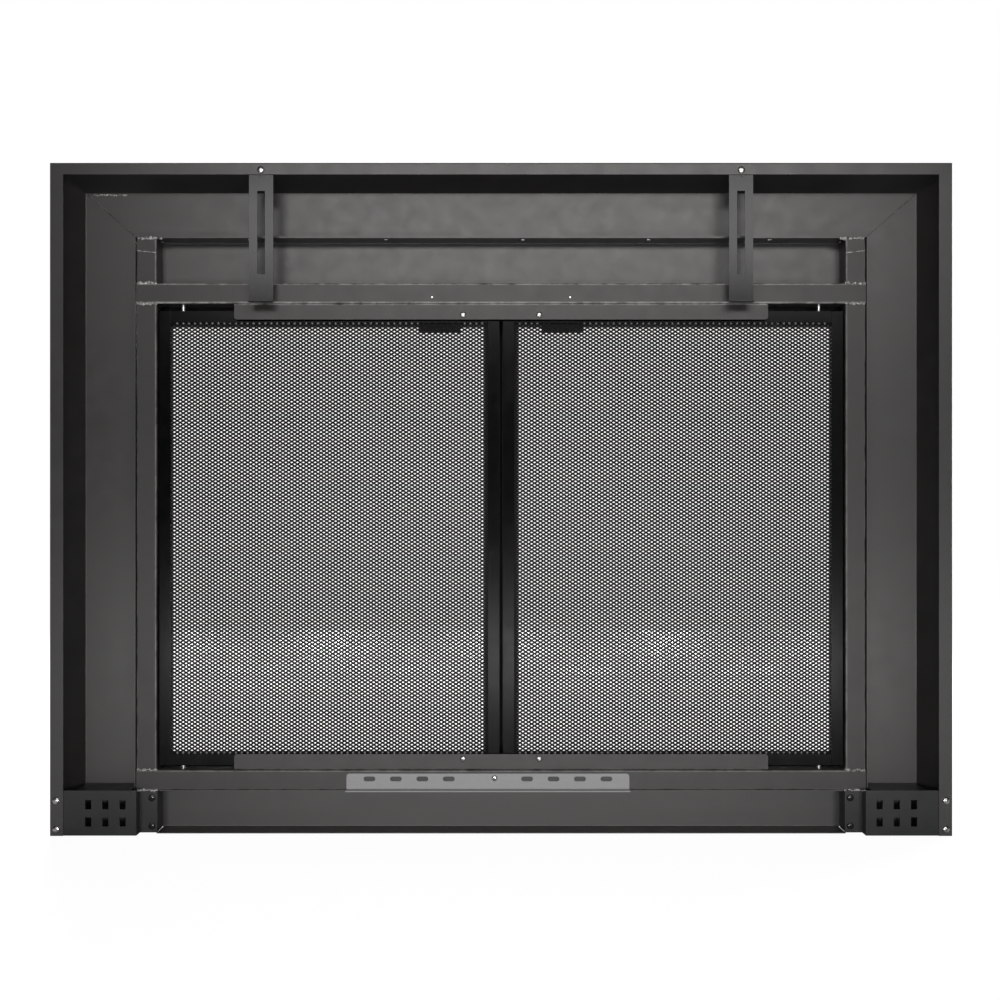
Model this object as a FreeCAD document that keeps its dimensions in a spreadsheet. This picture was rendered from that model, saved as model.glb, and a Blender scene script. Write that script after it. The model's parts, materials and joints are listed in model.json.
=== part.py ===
"""Fireplace door set: a folded steel surround on a welded tube frame, with two framed glass doors,
two framed mesh screens behind them, a sliding draft vent in the sill, and the straps and brackets
that hold it to a masonry opening.

Frame: X across, -Y into the firebox, +Y into the room, Z up. The origin is on the hearth, in the
middle of the width and of the depth. Depths are given forward from the wall plane, the rear face
of the surround's lips.
"""
import FreeCAD, Part
import Sketcher
import os
import re

doc = FreeCAD.newDocument("FireplaceDoors")
sheet = doc.addObject("Spreadsheet::Sheet", "Sizes")

# Driving sizes in millimetres: the alias, the value, and what it measures.
SIZES = [
    ("frame_width", 1111.0, "surround, lip edge to lip edge"),
    ("frame_height", 828.5, "surround, hearth to top edge"),
    ("frame_depth", 44.2, "surround, wall plane to front face"),
    ("panel_sheet", 1.2, "sheet of the surround, its panels and the door stops"),
    ("side_member_width", 99.5, "side member, outer edge to return flange"),
    ("top_member_width", 86.8, "top member, outer edge to return flange"),
    ("side_lip", 16.7, "width of the side members' rear lip"),
    ("side_taper", 30.0, "how far the side wall leans in over the depth"),
    ("return_depth", 25.0, "depth of the return flanges"),
    ("fold_radius", 1.8, "outside radius of a fold"),
    ("mitre_gap", 0.3, "open seam along a mitre"),
    ("tube_size", 25.4, "square tube, outside"),
    ("tube_wall", 1.5, "square tube, wall"),
    ("tube_corner", 2.2, "square tube, outside corner radius"),
    ("post_gap", 1.6, "between a side member and the post beside it"),
    ("riser_height", 52.0, "riser panel, hearth to sill"),
    ("header_height", 57.7, "header panel, lintel to top member"),
    ("panel_gap", 1.6, "between a panel's flanges and the stubs"),
    ("riser_return", 32.6, "depth of the riser's bottom flange"),
    ("panel_lap", 3.0, "header panel, lap over the lintel's front"),
    ("panel_end_gap", 0.5, "between a panel's end and the side member"),
    ("stop_inset", 65.9, "stop angle, from the mesh door pivot to its end"),
    ("stop_height", 19.8, "standing leg of a stop angle"),
    ("stop_leg", 12.0, "lying leg of a stop angle"),
    ("stop_corner", 4.0, "rounded free corners of a stop angle"),
    ("magnet_offset", 47.4, "mesh door magnets, from the centre line"),
    ("magnet_drop", 14.0, "magnet screws, from the opening's edge"),
    ("magnet_wide", 18.0, "mesh door magnet, width"),
    ("magnet_tall", 10.0, "mesh door magnet, height"),
    ("magnet_gap", 0.4, "magnet face to mesh door"),
    ("screw_shank", 1.6, "small screws, shank radius"),
    ("screw_head", 3.6, "small screws, head radius"),
    ("screw_head_tall", 2.2, "small screws, head height"),
    ("bolt_shank", 2.0, "lip screws, shank radius"),
    ("bolt_head", 4.4, "lip screws, head radius"),
    ("bolt_head_tall", 2.6, "lip screws, head height"),
    ("bolt_tail", 3.6, "lip screws, length past the plate"),
    ("nut_radius", 4.04, "strap nut, centre to corner"),
    ("nut_tall", 3.2, "strap nut, height"),
    ("snug", 0.05, "radial room of a fixed screw or pin"),
    ("running_fit", 0.08, "radial room of a turning pin"),
    ("strap_offset", 295.5, "lintel straps, from the centre line"),
    ("strap_width", 29.8, "lintel strap, width"),
    ("strap_sheet", 1.5, "sheet of the straps and base brackets"),
    ("strap_drop", 2.2, "lintel strap, past the lintel's underside"),
    ("strap_top_room", 5.0, "lintel strap, below the surround's top"),
    ("strap_foot", 10.0, "lintel strap, length of its folded foot"),
    ("strap_slot_width", 9.4, "lintel strap, slot width"),
    ("strap_slot_rise", 34.9, "lintel strap, slot above the strap's lower edge"),
    ("strap_slot_drop", 34.5, "lintel strap, slot below the surround's top"),
    ("strap_screw_drop", 9.2, "strap screw, below the surround's top"),
    ("bracket_height", 55.5, "base bracket, height of its plate"),
    ("bracket_step", 5.2, "base bracket, inner edge of its plate from the post's outer face"),
    ("bracket_edge_room", 4.1, "base bracket, outer edge from the surround's edge"),
    ("bracket_flange_room", 2.6, "base bracket, top flange to the side member's wall"),
    ("bracket_return_room", 0.4, "base bracket, top flange to the side member's return flange"),
    ("bracket_tab", 21.3, "base bracket, width of its tab on the stub"),
    ("bracket_slot_width", 7.6, "base bracket, slot width"),
    ("bracket_slot_tall", 11.5, "base bracket, slot height"),
    ("bracket_slot_pitch", 21.2, "base bracket, slot spacing both ways"),
    ("bracket_slot_inset", 68.2, "base bracket, middle slots from the surround's edge"),
    ("bracket_slot_low", 16.9, "base bracket, lower slots, above the hearth"),
    ("bracket_tab_room", 0.5, "base bracket, tab's top below the sill"),
    ("bracket_screw_low", 8.2, "base bracket, lower screws, above the hearth"),
    ("bracket_screw_pitch", 35.1, "base bracket, screw spacing"),
    ("lip_screw_inset", 8.4, "lip screws, from the surround's outer edge"),
    ("tab_screw_inset", 5.4, "tab screws, from the posts' inner line"),
    ("mesh_gap", 2.0, "mesh doors, half the gap where they meet"),
    ("mesh_side_gap", 1.6, "mesh doors, to the post"),
    ("mesh_bottom_gap", 4.8, "mesh doors, to the sill"),
    ("mesh_top_gap", 8.5, "mesh doors, to the lintel"),
    ("mesh_bar", 14.5, "mesh door bars, face width"),
    ("mesh_depth", 10.0, "mesh doors, thickness"),
    ("mesh_set_in", 4.9, "mesh doors, rear face forward of the tubes' rear"),
    ("mesh_sheet", 1.0, "mesh panel, thickness"),
    ("mesh_set_back", 3.5, "mesh panel, behind the bars' rear face"),
    ("mesh_pivot_inset", 29.0, "mesh door pivots, from the door's outer edge"),
    ("pin_radius", 2.5, "pivot pins, radius"),
    ("pin_reach", 8.0, "pivot pins, length inside the tube or rail"),
    ("rebate_depth", 6.0, "groove that holds a door's panel"),
    ("rebate_room", 0.3, "panel edge to the bottom of its groove"),
    ("glass_gap", 1.5, "glass doors, half the gap where they meet"),
    ("glass_overlap", 12.0, "glass doors, lap over the posts"),
    ("glass_bottom_lap", 3.2, "glass doors, lap over the sill"),
    ("glass_top_lap", 4.8, "glass doors, lap over the lintel"),
    ("glass_bar", 20.0, "glass door bars, face width"),
    ("glass_top_bar", 28.0, "glass door top rail, face width"),
    ("glass_frame_depth", 12.0, "glass doors, thickness"),
    ("glass_stand_off", 4.5, "glass doors, rear face in front of the tubes"),
    ("glass_sheet", 4.0, "glass pane, thickness"),
    ("glass_pivot_inset", 6.0, "glass door pivots, from the door's outer edge"),
    ("door_clearance", 0.4, "between a door and a fixed piece beside it"),
    ("hinge_plate", 2.0, "glass hinge bracket, thickness"),
    ("hinge_width", 20.0, "glass hinge bracket, width"),
    ("hinge_leg", 13.0, "glass hinge bracket, leg on the tube"),
    ("strike_near", 52.0, "strike plate, inner edge from the centre line"),
    ("strike_far", 105.0, "strike plate, outer edge from the centre line"),
    ("strike_drop", 31.8, "strike plate, lower edge below the lintel"),
    ("strike_room", 1.6, "strike plate, upper edge below the lintel"),
    ("strike_sheet", 1.0, "strike plate, thickness"),
    ("catch_offset", 86.0, "glass door catches, from the centre line"),
    ("catch_width", 36.0, "glass door catch, width"),
    ("catch_gap", 0.3, "catch face to strike plate"),
    ("catch_magnet_tall", 6.6, "glass door catch, height of its magnet"),
    ("catch_magnet_deep", 10.0, "glass door catch, depth of its magnet"),
    ("catch_leg", 12.5, "glass door catch, leg on the lintel"),
    ("catch_screw_rise", 7.7, "catch screw, above the lintel's underside"),
    ("seal_sheet", 2.0, "meeting seal, thickness"),
    ("seal_inset", 1.0, "meeting seal, from the door's ends"),
    ("handle_rise", 222.6, "door handle, lower end above the sill"),
    ("handle_length", 130.0, "door handle, length"),
    ("handle_radius", 5.0, "door handle, bar radius"),
    ("handle_reach", 28.0, "door handle, from the door's front"),
    ("handle_post", 4.0, "door handle, post radius"),
    ("handle_post_inset", 18.0, "door handle, posts from its ends"),
    ("draft_width", 352.0, "draft slide, length"),
    ("draft_rise", 1.0, "draft slide, lower edge above the sill's underside"),
    ("draft_height", 20.3, "draft slide, height"),
    ("draft_sheet", 1.3, "draft slide, sheet"),
    ("draft_lip", 13.0, "draft slide, folded lip"),
    ("draft_corner", 4.0, "draft slide, rounded upper corners"),
    ("draft_room", 0.3, "draft slide to sill"),
    ("draft_travel", 16.4, "draft slide, travel"),
    ("draft_slot_pitch", 32.9, "draft slots, spacing"),
    ("draft_slot_first", 48.7, "draft slots, first from the slide's middle"),
    ("draft_slot_long", 14.6, "draft slots, length"),
    ("draft_slot_tall", 6.0, "draft slots, height"),
    ("draft_slot_rise", 14.7, "draft slots, above the sill's underside"),
    ("knob_rise", 15.6, "draft knob, above the sill's underside"),
    ("knob_stem", 2.6, "draft knob, stem radius"),
    ("knob_stem_room", 0.4, "draft knob, stem to its slot"),
    ("knob_head", 4.6, "draft knob, head radius"),
    ("knob_head_long", 13.0, "draft knob, head length"),
    ("knob_standoff", 1.0, "draft knob, head to sill"),
]

# Places that follow from the sizes. Each may use the ones above it.
PLACES = {
    "half_width": "frame_width / 2",
    "rear_reach": "strap_foot - panel_sheet - strap_sheet",
    "glass_front_reach": "frame_depth - panel_sheet + glass_stand_off + glass_frame_depth",
    "front_reach": "glass_front_reach + handle_reach",
    "wall_y": "(rear_reach - front_reach) / 2",
    "front_y": "wall_y + frame_depth",
    "panel_y": "front_y - panel_sheet",
    "tube_rear_y": "panel_y - tube_size",
    "plate_y": "wall_y + panel_sheet",
    "plate_front_y": "plate_y + strap_sheet",
    "return_y": "front_y - return_depth",
    "mitre_slope": "top_member_width / side_member_width",
    "side_lean": "side_taper / frame_depth",
    "top_lean": "side_lean * mitre_slope",
    "side_inner": "half_width - side_member_width",
    "header_top": "frame_height - top_member_width",
    "side_edge": "half_width + fold_radius * (side_lean + sqrt(1 + side_lean * side_lean) - 1)",
    "top_edge": "frame_height + fold_radius * (top_lean + sqrt(1 + top_lean * top_lean) - 1)",
    "lintel_top": "header_top - header_height",
    "opening_top": "lintel_top - tube_size",
    "sill_bottom": "riser_height",
    "opening_bottom": "sill_bottom + tube_size",
    "post_outer": "side_inner - post_gap",
    "half_opening": "post_outer - tube_size",
    "panel_end": "half_opening - panel_gap",
    "riser_return_y": "front_y - riser_return",
    "stop_front_y": "tube_rear_y + panel_sheet",
    "mesh_rear_y": "tube_rear_y + mesh_set_in",
    "mesh_front_y": "mesh_rear_y + mesh_depth",
    "mesh_outer": "half_opening - mesh_side_gap",
    "mesh_bottom": "opening_bottom + mesh_bottom_gap",
    "mesh_top": "opening_top - mesh_top_gap",
    "mesh_pivot_x": "mesh_outer - mesh_pivot_inset",
    "mesh_pivot_y": "mesh_rear_y + mesh_depth / 2",
    "stop_end": "mesh_pivot_x - stop_inset",
    "glass_rear_y": "panel_y + glass_stand_off",
    "glass_front_y": "glass_rear_y + glass_frame_depth",
    "glass_outer": "half_opening + glass_overlap",
    "glass_bottom": "opening_bottom - glass_bottom_lap",
    "glass_top": "opening_top + glass_top_lap",
    "glass_pivot_x": "glass_outer - glass_pivot_inset",
    "glass_pivot_y": "glass_rear_y + glass_frame_depth / 2",
    "strap_bottom": "opening_top - strap_drop",
    "strap_top": "frame_height - strap_top_room",
    "strap_slot_bottom": "strap_bottom + strap_slot_rise",
    "strap_slot_top": "frame_height - strap_slot_drop",
    "bracket_inner": "post_outer - bracket_step",
    "bracket_outer": "half_width - bracket_edge_room",
    "bracket_flange_inner": "side_inner + panel_sheet + bracket_return_room",
    "bracket_flange_outer": "side_edge - side_taper - bracket_flange_room",
    "bracket_slot_middle": "half_width - bracket_slot_inset",
    "bracket_tab_height": "sill_bottom - bracket_tab_room",
    "strike_bottom": "opening_top - strike_drop",
    "strike_top": "opening_top - strike_room",
    "handle_bottom": "opening_bottom + handle_rise",
    "handle_top": "handle_bottom + handle_length",
    "draft_bottom": "sill_bottom + draft_rise",
    "draft_slot_level": "sill_bottom + draft_slot_rise",
    "knob_level": "sill_bottom + knob_rise",
    "strike_rear_y": "glass_rear_y - strike_sheet",
    "catch_front_y": "strike_rear_y - catch_gap",
    "catch_rear_y": "catch_front_y - catch_magnet_deep",
    "draft_front_y": "tube_rear_y - draft_room",
    "draft_rear_y": "draft_front_y - draft_sheet",
    "draft_middle": "-draft_travel",
    "knob_x": "-draft_travel / 2",
}
FUNCTIONS = {"sqrt"}
AXES = {"X": FreeCAD.Vector(1, 0, 0), "Y": FreeCAD.Vector(0, 1, 0), "Z": FreeCAD.Vector(0, 0, 1)}

for row, (alias, number, note) in enumerate(SIZES, start=1):
    sheet.set(f"A{row}", note)
    sheet.set(f"B{row}", str(number))
    sheet.setAlias(f"B{row}", alias)
doc.recompute()


def bind(text):
    """Write out a formula of sizes and places as an expression on the sheet."""
    def written_out(match):
        word = match.group(0)
        if word in FUNCTIONS:
            return word
        if word in PLACES:
            return "(" + bind(PLACES[word]) + ")"
        return "Sizes." + word
    return re.sub(r"[a-z_]+", written_out, str(text))


def mirrored(side, low, high):
    """The span from low to high on the right (side 1), or its mirror image on the left (-1)."""
    return (low, high) if side > 0 else (f"-({high})", f"-({low})")


# ---- Blocks, rounds and joins -----------------------------------------------------------------

def block(name, x, y, z):
    """A block between a low and a high place along each axis."""
    solid = doc.addObject("Part::Box", name)
    for axis, length, (low, high) in zip("xyz", ("Length", "Width", "Height"), (x, y, z)):
        solid.setExpression(length, bind(f"({high}) - ({low})"))
        solid.setExpression(f"Placement.Base.{axis}", bind(low))
    return solid


TURNS = {
    "X": FreeCAD.Rotation(FreeCAD.Vector(0, 1, 0), 90),
    "Y": FreeCAD.Rotation(FreeCAD.Vector(1, 0, 0), -90),
    "Z": FreeCAD.Rotation(),
}


def rod(name, along, radius, start, end, x=None, y=None, z=None, sides=None):
    """A round rod along an axis between two places, or a prism when sides are given."""
    solid = doc.addObject("Part::Prism" if sides else "Part::Cylinder", name)
    if sides:
        solid.Polygon = sides
    solid.setExpression("Circumradius" if sides else "Radius", bind(radius))
    solid.setExpression("Height", bind(f"({end}) - ({start})"))
    solid.Placement = FreeCAD.Placement(FreeCAD.Vector(), TURNS[along])
    centre = {"X": x, "Y": y, "Z": z, along: start}
    for axis, place in centre.items():
        solid.setExpression(f"Placement.Base.{axis.lower()}", bind(place))
    return solid


def joined(name, pieces):
    """One solid from several overlapping or touching ones."""
    whole = doc.addObject("Part::MultiFuse", name)
    whole.Shapes = pieces
    whole.Refine = True
    return whole


def without(name, base, holes):
    """The base with the holes cut out of it."""
    cut = doc.addObject("Part::Cut", name)
    cut.Base = base
    cut.Tool = holes[0] if len(holes) == 1 else joined(name + "_holes", holes)
    cut.Refine = True
    return cut


def together(name, pieces):
    """Separate solids that share one node."""
    group = doc.addObject("Part::Compound", name)
    group.Links = pieces
    return group


# ---- Sketched bodies --------------------------------------------------------------------------

# For each plane: the axis it faces, and whether its normal points along that axis.
PLANES = {"XY_Plane": ("Z", 1), "XZ_Plane": ("Y", -1), "YZ_Plane": ("X", 1)}


def new_body(name):
    return doc.addObject("PartDesign::Body", name)


def outline(body, plane, points, distance):
    """A closed sketch through bound points, on one of the body's planes moved along its normal."""
    sketch = body.newObject("Sketcher::SketchObject", body.Name + "_outline")
    support = [o for o in body.Origin.OriginFeatures if o.Role == plane][0]
    sketch.AttachmentSupport = (support, [""])
    sketch.MapMode = "FlatFace"
    sketch.setExpression("AttachmentOffset.Base.z", bind(distance))
    count = len(points)
    guess = [FreeCAD.Vector(10 * (i % 3), 10 * i, 0) for i in range(count)]
    for i in range(count):
        sketch.addGeometry(Part.LineSegment(guess[i], guess[(i + 1) % count]), False)
    for i in range(count):
        sketch.addConstraint(Sketcher.Constraint("Coincident", i, 2, (i + 1) % count, 1))
    for i, place in enumerate(points):
        for kind, formula in zip(("DistanceX", "DistanceY"), place):
            row = sketch.addConstraint(Sketcher.Constraint(kind, -1, 1, i, 1, 1.0))
            sketch.setExpression(f"Constraints[{row}]", bind(formula))
    return sketch


def pad(body, plane, points, low, high):
    """Material between two places along the plane's axis."""
    direction = PLANES[plane][1]
    start = low if direction > 0 else f"-({high})"
    sketch = outline(body, plane, points, start)
    feature = body.newObject("PartDesign::Pad", body.Name + "_pad")
    feature.Profile = sketch
    feature.setExpression("Length", bind(f"({high}) - ({low})"))
    doc.recompute()
    return feature


def pocket(body, plane, points, low, high):
    """A cut between two places along the plane's axis."""
    direction = PLANES[plane][1]
    start = high if direction > 0 else f"-({low})"
    sketch = outline(body, plane, points, start)
    before = body.Shape.Volume
    feature = body.newObject("PartDesign::Pocket", body.Name + "_pocket")
    feature.Profile = sketch
    feature.setExpression("Length", bind(f"({high}) - ({low})"))
    doc.recompute()
    if not feature.Shape.Volume < before:
        raise SystemExit(f"{feature.Name} cut nothing")
    return feature


def straight_edges(shape, direction):
    """Number and lowest vertex of each straight edge that runs along a direction."""
    for number, edge in enumerate(shape.Edges, start=1):
        if edge.Curve.TypeId == "Part::GeomLine":
            if abs(abs(edge.Curve.Direction.dot(direction)) - 1) < 1e-6:
                yield number, edge.Vertexes[0].Point


def fillet(body, edges, radius):
    """Round some edges of the body as it stands."""
    base = body.Tip
    feature = body.newObject("PartDesign::Fillet", body.Name + "_fillet")
    feature.Base = (base, [f"Edge{number}" for number in edges])
    feature.setExpression("Radius", bind(radius))
    doc.recompute()


def fold(body, plane, corners, radius):
    """Round the long edges of a padded section that stand on some of its sketch's corners."""
    sketch = [o for o in body.Group if o.isDerivedFrom("Sketcher::SketchObject")][0]
    axis = PLANES[plane][0]
    across = [letter for letter in "xyz" if letter != axis.lower()]
    places = [sketch.Geometry[i].StartPoint for i in corners]
    found = []
    for number, point in straight_edges(body.Tip.Shape, AXES[axis]):
        u, v = (getattr(point, letter) for letter in across)
        if any(abs(u - place.x) + abs(v - place.y) < 1e-4 for place in places):
            found.append(number)
    if len(found) != len(corners):
        raise SystemExit(f"{body.Name}: {len(found)} edges for {len(corners)} folds")
    fillet(body, found, radius)


def round_ends(body, at_top, radius):
    """Round the two free corners, left and right, of a standing leg."""
    box = body.Tip.Shape.BoundBox
    level = box.ZMax if at_top else box.ZMin
    found = []
    for number, point in straight_edges(body.Tip.Shape, AXES["Y"]):
        at_end = min(abs(point.x - box.XMin), abs(point.x - box.XMax)) < 1e-4
        if at_end and abs(point.z - level) < 1e-4:
            found.append(number)
    fillet(body, found, radius)


def rectangle(x, y):
    """Corner places of a rectangle between two spans."""
    return [(x[0], y[0]), (x[1], y[0]), (x[1], y[1]), (x[0], y[1])]


PARTS = []


def keep(label, piece):
    """Name a finished sub-part and list it for export."""
    piece.Label = label
    PARTS.append(piece)


def both_sides(make):
    """Make a piece on the left and on the right."""
    for word, side in (("left", -1), ("right", 1)):
        make(word, side)


# ---- Surround ---------------------------------------------------------------------------------

OUTER_FOLDS = [1, 2, 3]
INNER_FOLDS = [6, 7, 8]


def surround_section(edge, lip_end, lean, inner):
    """The folded sheet's section as (place across, depth) pairs, outer face first.

    edge is the outer faces' corner, lip_end the lip's free end, lean how fast the wall leans in,
    and inner the face of the return flange.
    """
    wall = f"panel_sheet * sqrt(1 + {lean} * {lean})"
    return [
        (lip_end, "wall_y"),
        (edge, "wall_y"),
        (f"{edge} - {lean} * frame_depth", "front_y"),
        (inner, "front_y"),
        (inner, "return_y"),
        (f"{inner} + panel_sheet", "return_y"),
        (f"{inner} + panel_sheet", "panel_y"),
        (f"{edge} - {lean} * (frame_depth - panel_sheet) - {wall}", "panel_y"),
        (f"{edge} - {lean} * panel_sheet - {wall}", "plate_y"),
        (lip_end, "plate_y"),
    ]


def mitre(body, side, shift, upper):
    """Cut away what lies above, or below, the line from an inner to an outer corner."""
    slope = "(top_edge - header_top) / (side_edge - side_inner)"
    line = []
    for out in ("2 * side_member_width", "-side_member_width"):
        line.append((f"side_inner + ({out})", f"header_top + {slope} * ({out}) + ({shift})"))
    level = "3 * frame_height" if upper else "-frame_height"
    points = line + [(line[1][0], level), (line[0][0], level)]
    points = [(f"{side} * ({x})", z) for x, z in points]
    pocket(body, "XZ_Plane", points, "2 * wall_y", "3 * front_reach")


def lip_hole(x, z):
    return rod("lip_hole", "Y", "bolt_shank + snug", "wall_y - 1", "plate_front_y + 1", x=x, z=z)


SCREW_LEVELS = ("bracket_screw_low", "bracket_screw_low + bracket_screw_pitch")


def side_member(word, side):
    body = new_body("side_member")
    section = surround_section("side_edge", "half_width - side_lip", "side_lean", "side_inner")
    points = [(f"{side} * ({x})", y) for x, y in section]
    pad(body, "XY_Plane", points, "0", "top_edge")
    fold(body, "XY_Plane", OUTER_FOLDS, "fold_radius")
    fold(body, "XY_Plane", INNER_FOLDS, "fold_radius - panel_sheet")
    mitre(body, side, "-mitre_gap / 2", True)
    screw_x = f"{side} * (half_width - lip_screw_inset)"
    holes = [lip_hole(screw_x, z) for z in SCREW_LEVELS]
    keep(f"outer_frame_{word}", without("side_member_cut", body, holes))


both_sides(side_member)

top = new_body("top_member")
section = surround_section(
    "top_edge", "frame_height - side_lip * mitre_slope", "top_lean", "header_top")
pad(top, "YZ_Plane", [(y, z) for z, y in section], "-side_edge", "side_edge")
fold(top, "YZ_Plane", OUTER_FOLDS, "fold_radius")
fold(top, "YZ_Plane", INNER_FOLDS, "fold_radius - panel_sheet")
for side in (-1, 1):
    mitre(top, side, "mitre_gap / 2", False)
STRAP_SCREW_Z = "frame_height - strap_screw_drop"
strap_holes = [lip_hole(f"{side} * strap_offset", STRAP_SCREW_Z) for side in (-1, 1)]
keep("outer_frame_top", without("top_member_cut", top, strap_holes))


# ---- Filler panels above and below the doors --------------------------------------------------

def with_ears(name, panel, z):
    """The panel with flat ends that cover the fronts of the stubs beside it."""
    ears = []
    for side in (-1, 1):
        x = mirrored(side, "panel_end - panel_sheet", "side_inner - panel_end_gap")
        ears.append(block(name + "_ear", x, ("panel_y", "front_y"), z))
    return joined(name + "_whole", [panel] + ears)


header = new_body("header")
pad(header, "YZ_Plane", [
    ("front_y", "lintel_top - panel_lap"),
    ("front_y", "header_top"),
    ("return_y", "header_top"),
    ("return_y", "header_top - panel_sheet"),
    ("panel_y", "header_top - panel_sheet"),
    ("panel_y", "lintel_top - panel_lap"),
], "-panel_end", "panel_end")
fold(header, "YZ_Plane", [1], "fold_radius")
fold(header, "YZ_Plane", [4], "fold_radius - panel_sheet")
keep("header_panel", with_ears("header", header, (
    "lintel_top - panel_lap", "header_top - fold_radius")))

riser = new_body("riser")
pad(riser, "YZ_Plane", [
    ("riser_return_y", "0"),
    ("front_y", "0"),
    ("front_y", "sill_bottom"),
    ("return_y", "sill_bottom"),
    ("return_y", "sill_bottom - panel_sheet"),
    ("panel_y", "sill_bottom - panel_sheet"),
    ("panel_y", "panel_sheet"),
    ("riser_return_y", "panel_sheet"),
], "-panel_end", "panel_end")
fold(riser, "YZ_Plane", [1, 2], "fold_radius")
fold(riser, "YZ_Plane", [5, 6], "fold_radius - panel_sheet")
keep("riser_panel", with_ears("riser", riser, ("fold_radius", "sill_bottom - fold_radius")))


# ---- Welded tube frame ------------------------------------------------------------------------

def tube(name, plane, across, deep, low, high):
    """A square tube along the plane's normal, between two spans across it."""
    body = new_body(name)
    # On the XY plane the sketch reads (x, y); on the YZ plane it reads (y, z).
    spans = (across, deep) if plane == "XY_Plane" else (deep, across)
    inside = [(f"({a}) + tube_wall", f"({b}) - tube_wall") for a, b in spans]
    pad(body, plane, rectangle(*spans), low, high)
    fold(body, plane, [0, 1, 2, 3], "tube_corner")
    pocket(body, plane, rectangle(*inside), low, high)
    return body


TUBE_DEPTH = ("tube_rear_y", "panel_y")


def obround(x, z, long, tall, y):
    """Cutters for a round-ended slot that runs along X."""
    reach = f"(({long}) - ({tall})) / 2"
    ends = [f"({x}) {sign} {reach}" for sign in "-+"]
    pieces = [block("slot_middle", ends, y, (f"({z}) - ({tall}) / 2", f"({z}) + ({tall}) / 2"))]
    for end in ends:
        pieces.append(rod("slot_end", "Y", f"({tall}) / 2", *y, x=end, z=z))
    return pieces


def upright(word, side, name, low, high, holes=()):
    across = mirrored(side, "half_opening", "post_outer")
    body = tube(name, "XY_Plane", across, TUBE_DEPTH, low, high)
    keep(f"{name}_{word}", without(name + "_cut", body, holes) if holes else body)


def uprights(word, side):
    upright(word, side, "post_tube", "opening_bottom", "opening_top")
    upright(word, side, "upper_stub", "lintel_top", "header_top")
    screw_x = f"{side} * (half_opening + tab_screw_inset)"
    holes = [rod("tab_hole", "Y", "bolt_shank + snug", "tube_rear_y - 1", "tube_rear_y + 3 * tube_wall",
                 x=screw_x, z=z) for z in SCREW_LEVELS]
    upright(word, side, "lower_stub", "0", "sill_bottom", holes)


both_sides(uprights)


def pivot_hole(side, low, high):
    """Where a mesh door's pin turns in a tube wall."""
    return rod("pivot_hole", "Z", "pin_radius + running_fit", low, high,
               x=f"{side} * mesh_pivot_x", y="mesh_pivot_y")


HINGE_SCREW_RISE = "door_clearance + hinge_plate + (hinge_leg - hinge_plate) * 0.6"
HINGE_SCREWS = (f"glass_top + {HINGE_SCREW_RISE}", f"glass_bottom - ({HINGE_SCREW_RISE})")


def hinge_screw_hole(side, z):
    return rod("hinge_screw_hole", "Y", "screw_shank + snug", "panel_y - 3 * tube_wall",
               "front_y + hinge_plate", x=f"{side} * glass_pivot_x", z=z)


lintel_tube = tube("lintel", "YZ_Plane", ("opening_top", "lintel_top"), TUBE_DEPTH,
                   "-post_outer", "post_outer")
CATCH_SCREW_Z = "opening_top + catch_screw_rise"
lintel_holes = []
for side in (-1, 1):
    lintel_holes.append(pivot_hole(side, "opening_top - 1", "opening_top + 2 * tube_wall"))
    lintel_holes.append(hinge_screw_hole(side, HINGE_SCREWS[0]))
    lintel_holes.append(rod("catch_hole", "Y", "screw_shank + snug", "tube_rear_y - 1", "front_y + 1",
                            x=f"{side} * catch_offset", z=CATCH_SCREW_Z))
keep("lintel_tube", without("lintel_cut", lintel_tube, lintel_holes))

DRAFT_SLOTS = [f"{side} * (draft_slot_first + {i} * draft_slot_pitch)" for side in (-1, 1) for i in range(4)]

sill_tube = tube("sill", "YZ_Plane", ("sill_bottom", "opening_bottom"), TUBE_DEPTH,
                 "-post_outer", "post_outer")
THROUGH_SILL = ("tube_rear_y - 1", "front_y + 1")
sill_holes = []
for side in (-1, 1):
    sill_holes.append(pivot_hole(side, "opening_bottom - 2 * tube_wall", "opening_bottom + 1"))
    sill_holes.append(hinge_screw_hole(side, HINGE_SCREWS[1]))
for x in DRAFT_SLOTS:
    sill_holes += obround(x, "draft_slot_level", "draft_slot_long", "draft_slot_tall", THROUGH_SILL)
stem_slot = "2 * (knob_stem + knob_stem_room)"
sill_holes += obround("0", "knob_level", f"draft_travel + {stem_slot}", stem_slot, THROUGH_SILL)
keep("sill_tube", without("sill_cut", sill_tube, sill_holes))


# ---- Stops and magnets for the mesh doors -----------------------------------------------------

def small_screw(name, x, z, head, shank_end, radius="screw_shank"):
    """A pan-head screw along Y: head is the (outer, seat) span of its head, shank_end its tip."""
    piece_head = rod(name + "_head", "Y", "screw_head", *head, x=x, z=z)
    piece_shank = rod(name + "_shank", "Y", radius, head[1], shank_end, x=x, z=z)
    return joined(name, [piece_head, piece_shank])


MAGNETS = [(f"{side} * magnet_offset", z) for side in (-1, 1)
           for z in ("opening_top - magnet_drop", "opening_bottom + magnet_drop")]
MAGNET_FRONT = "mesh_rear_y - magnet_gap"


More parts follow.
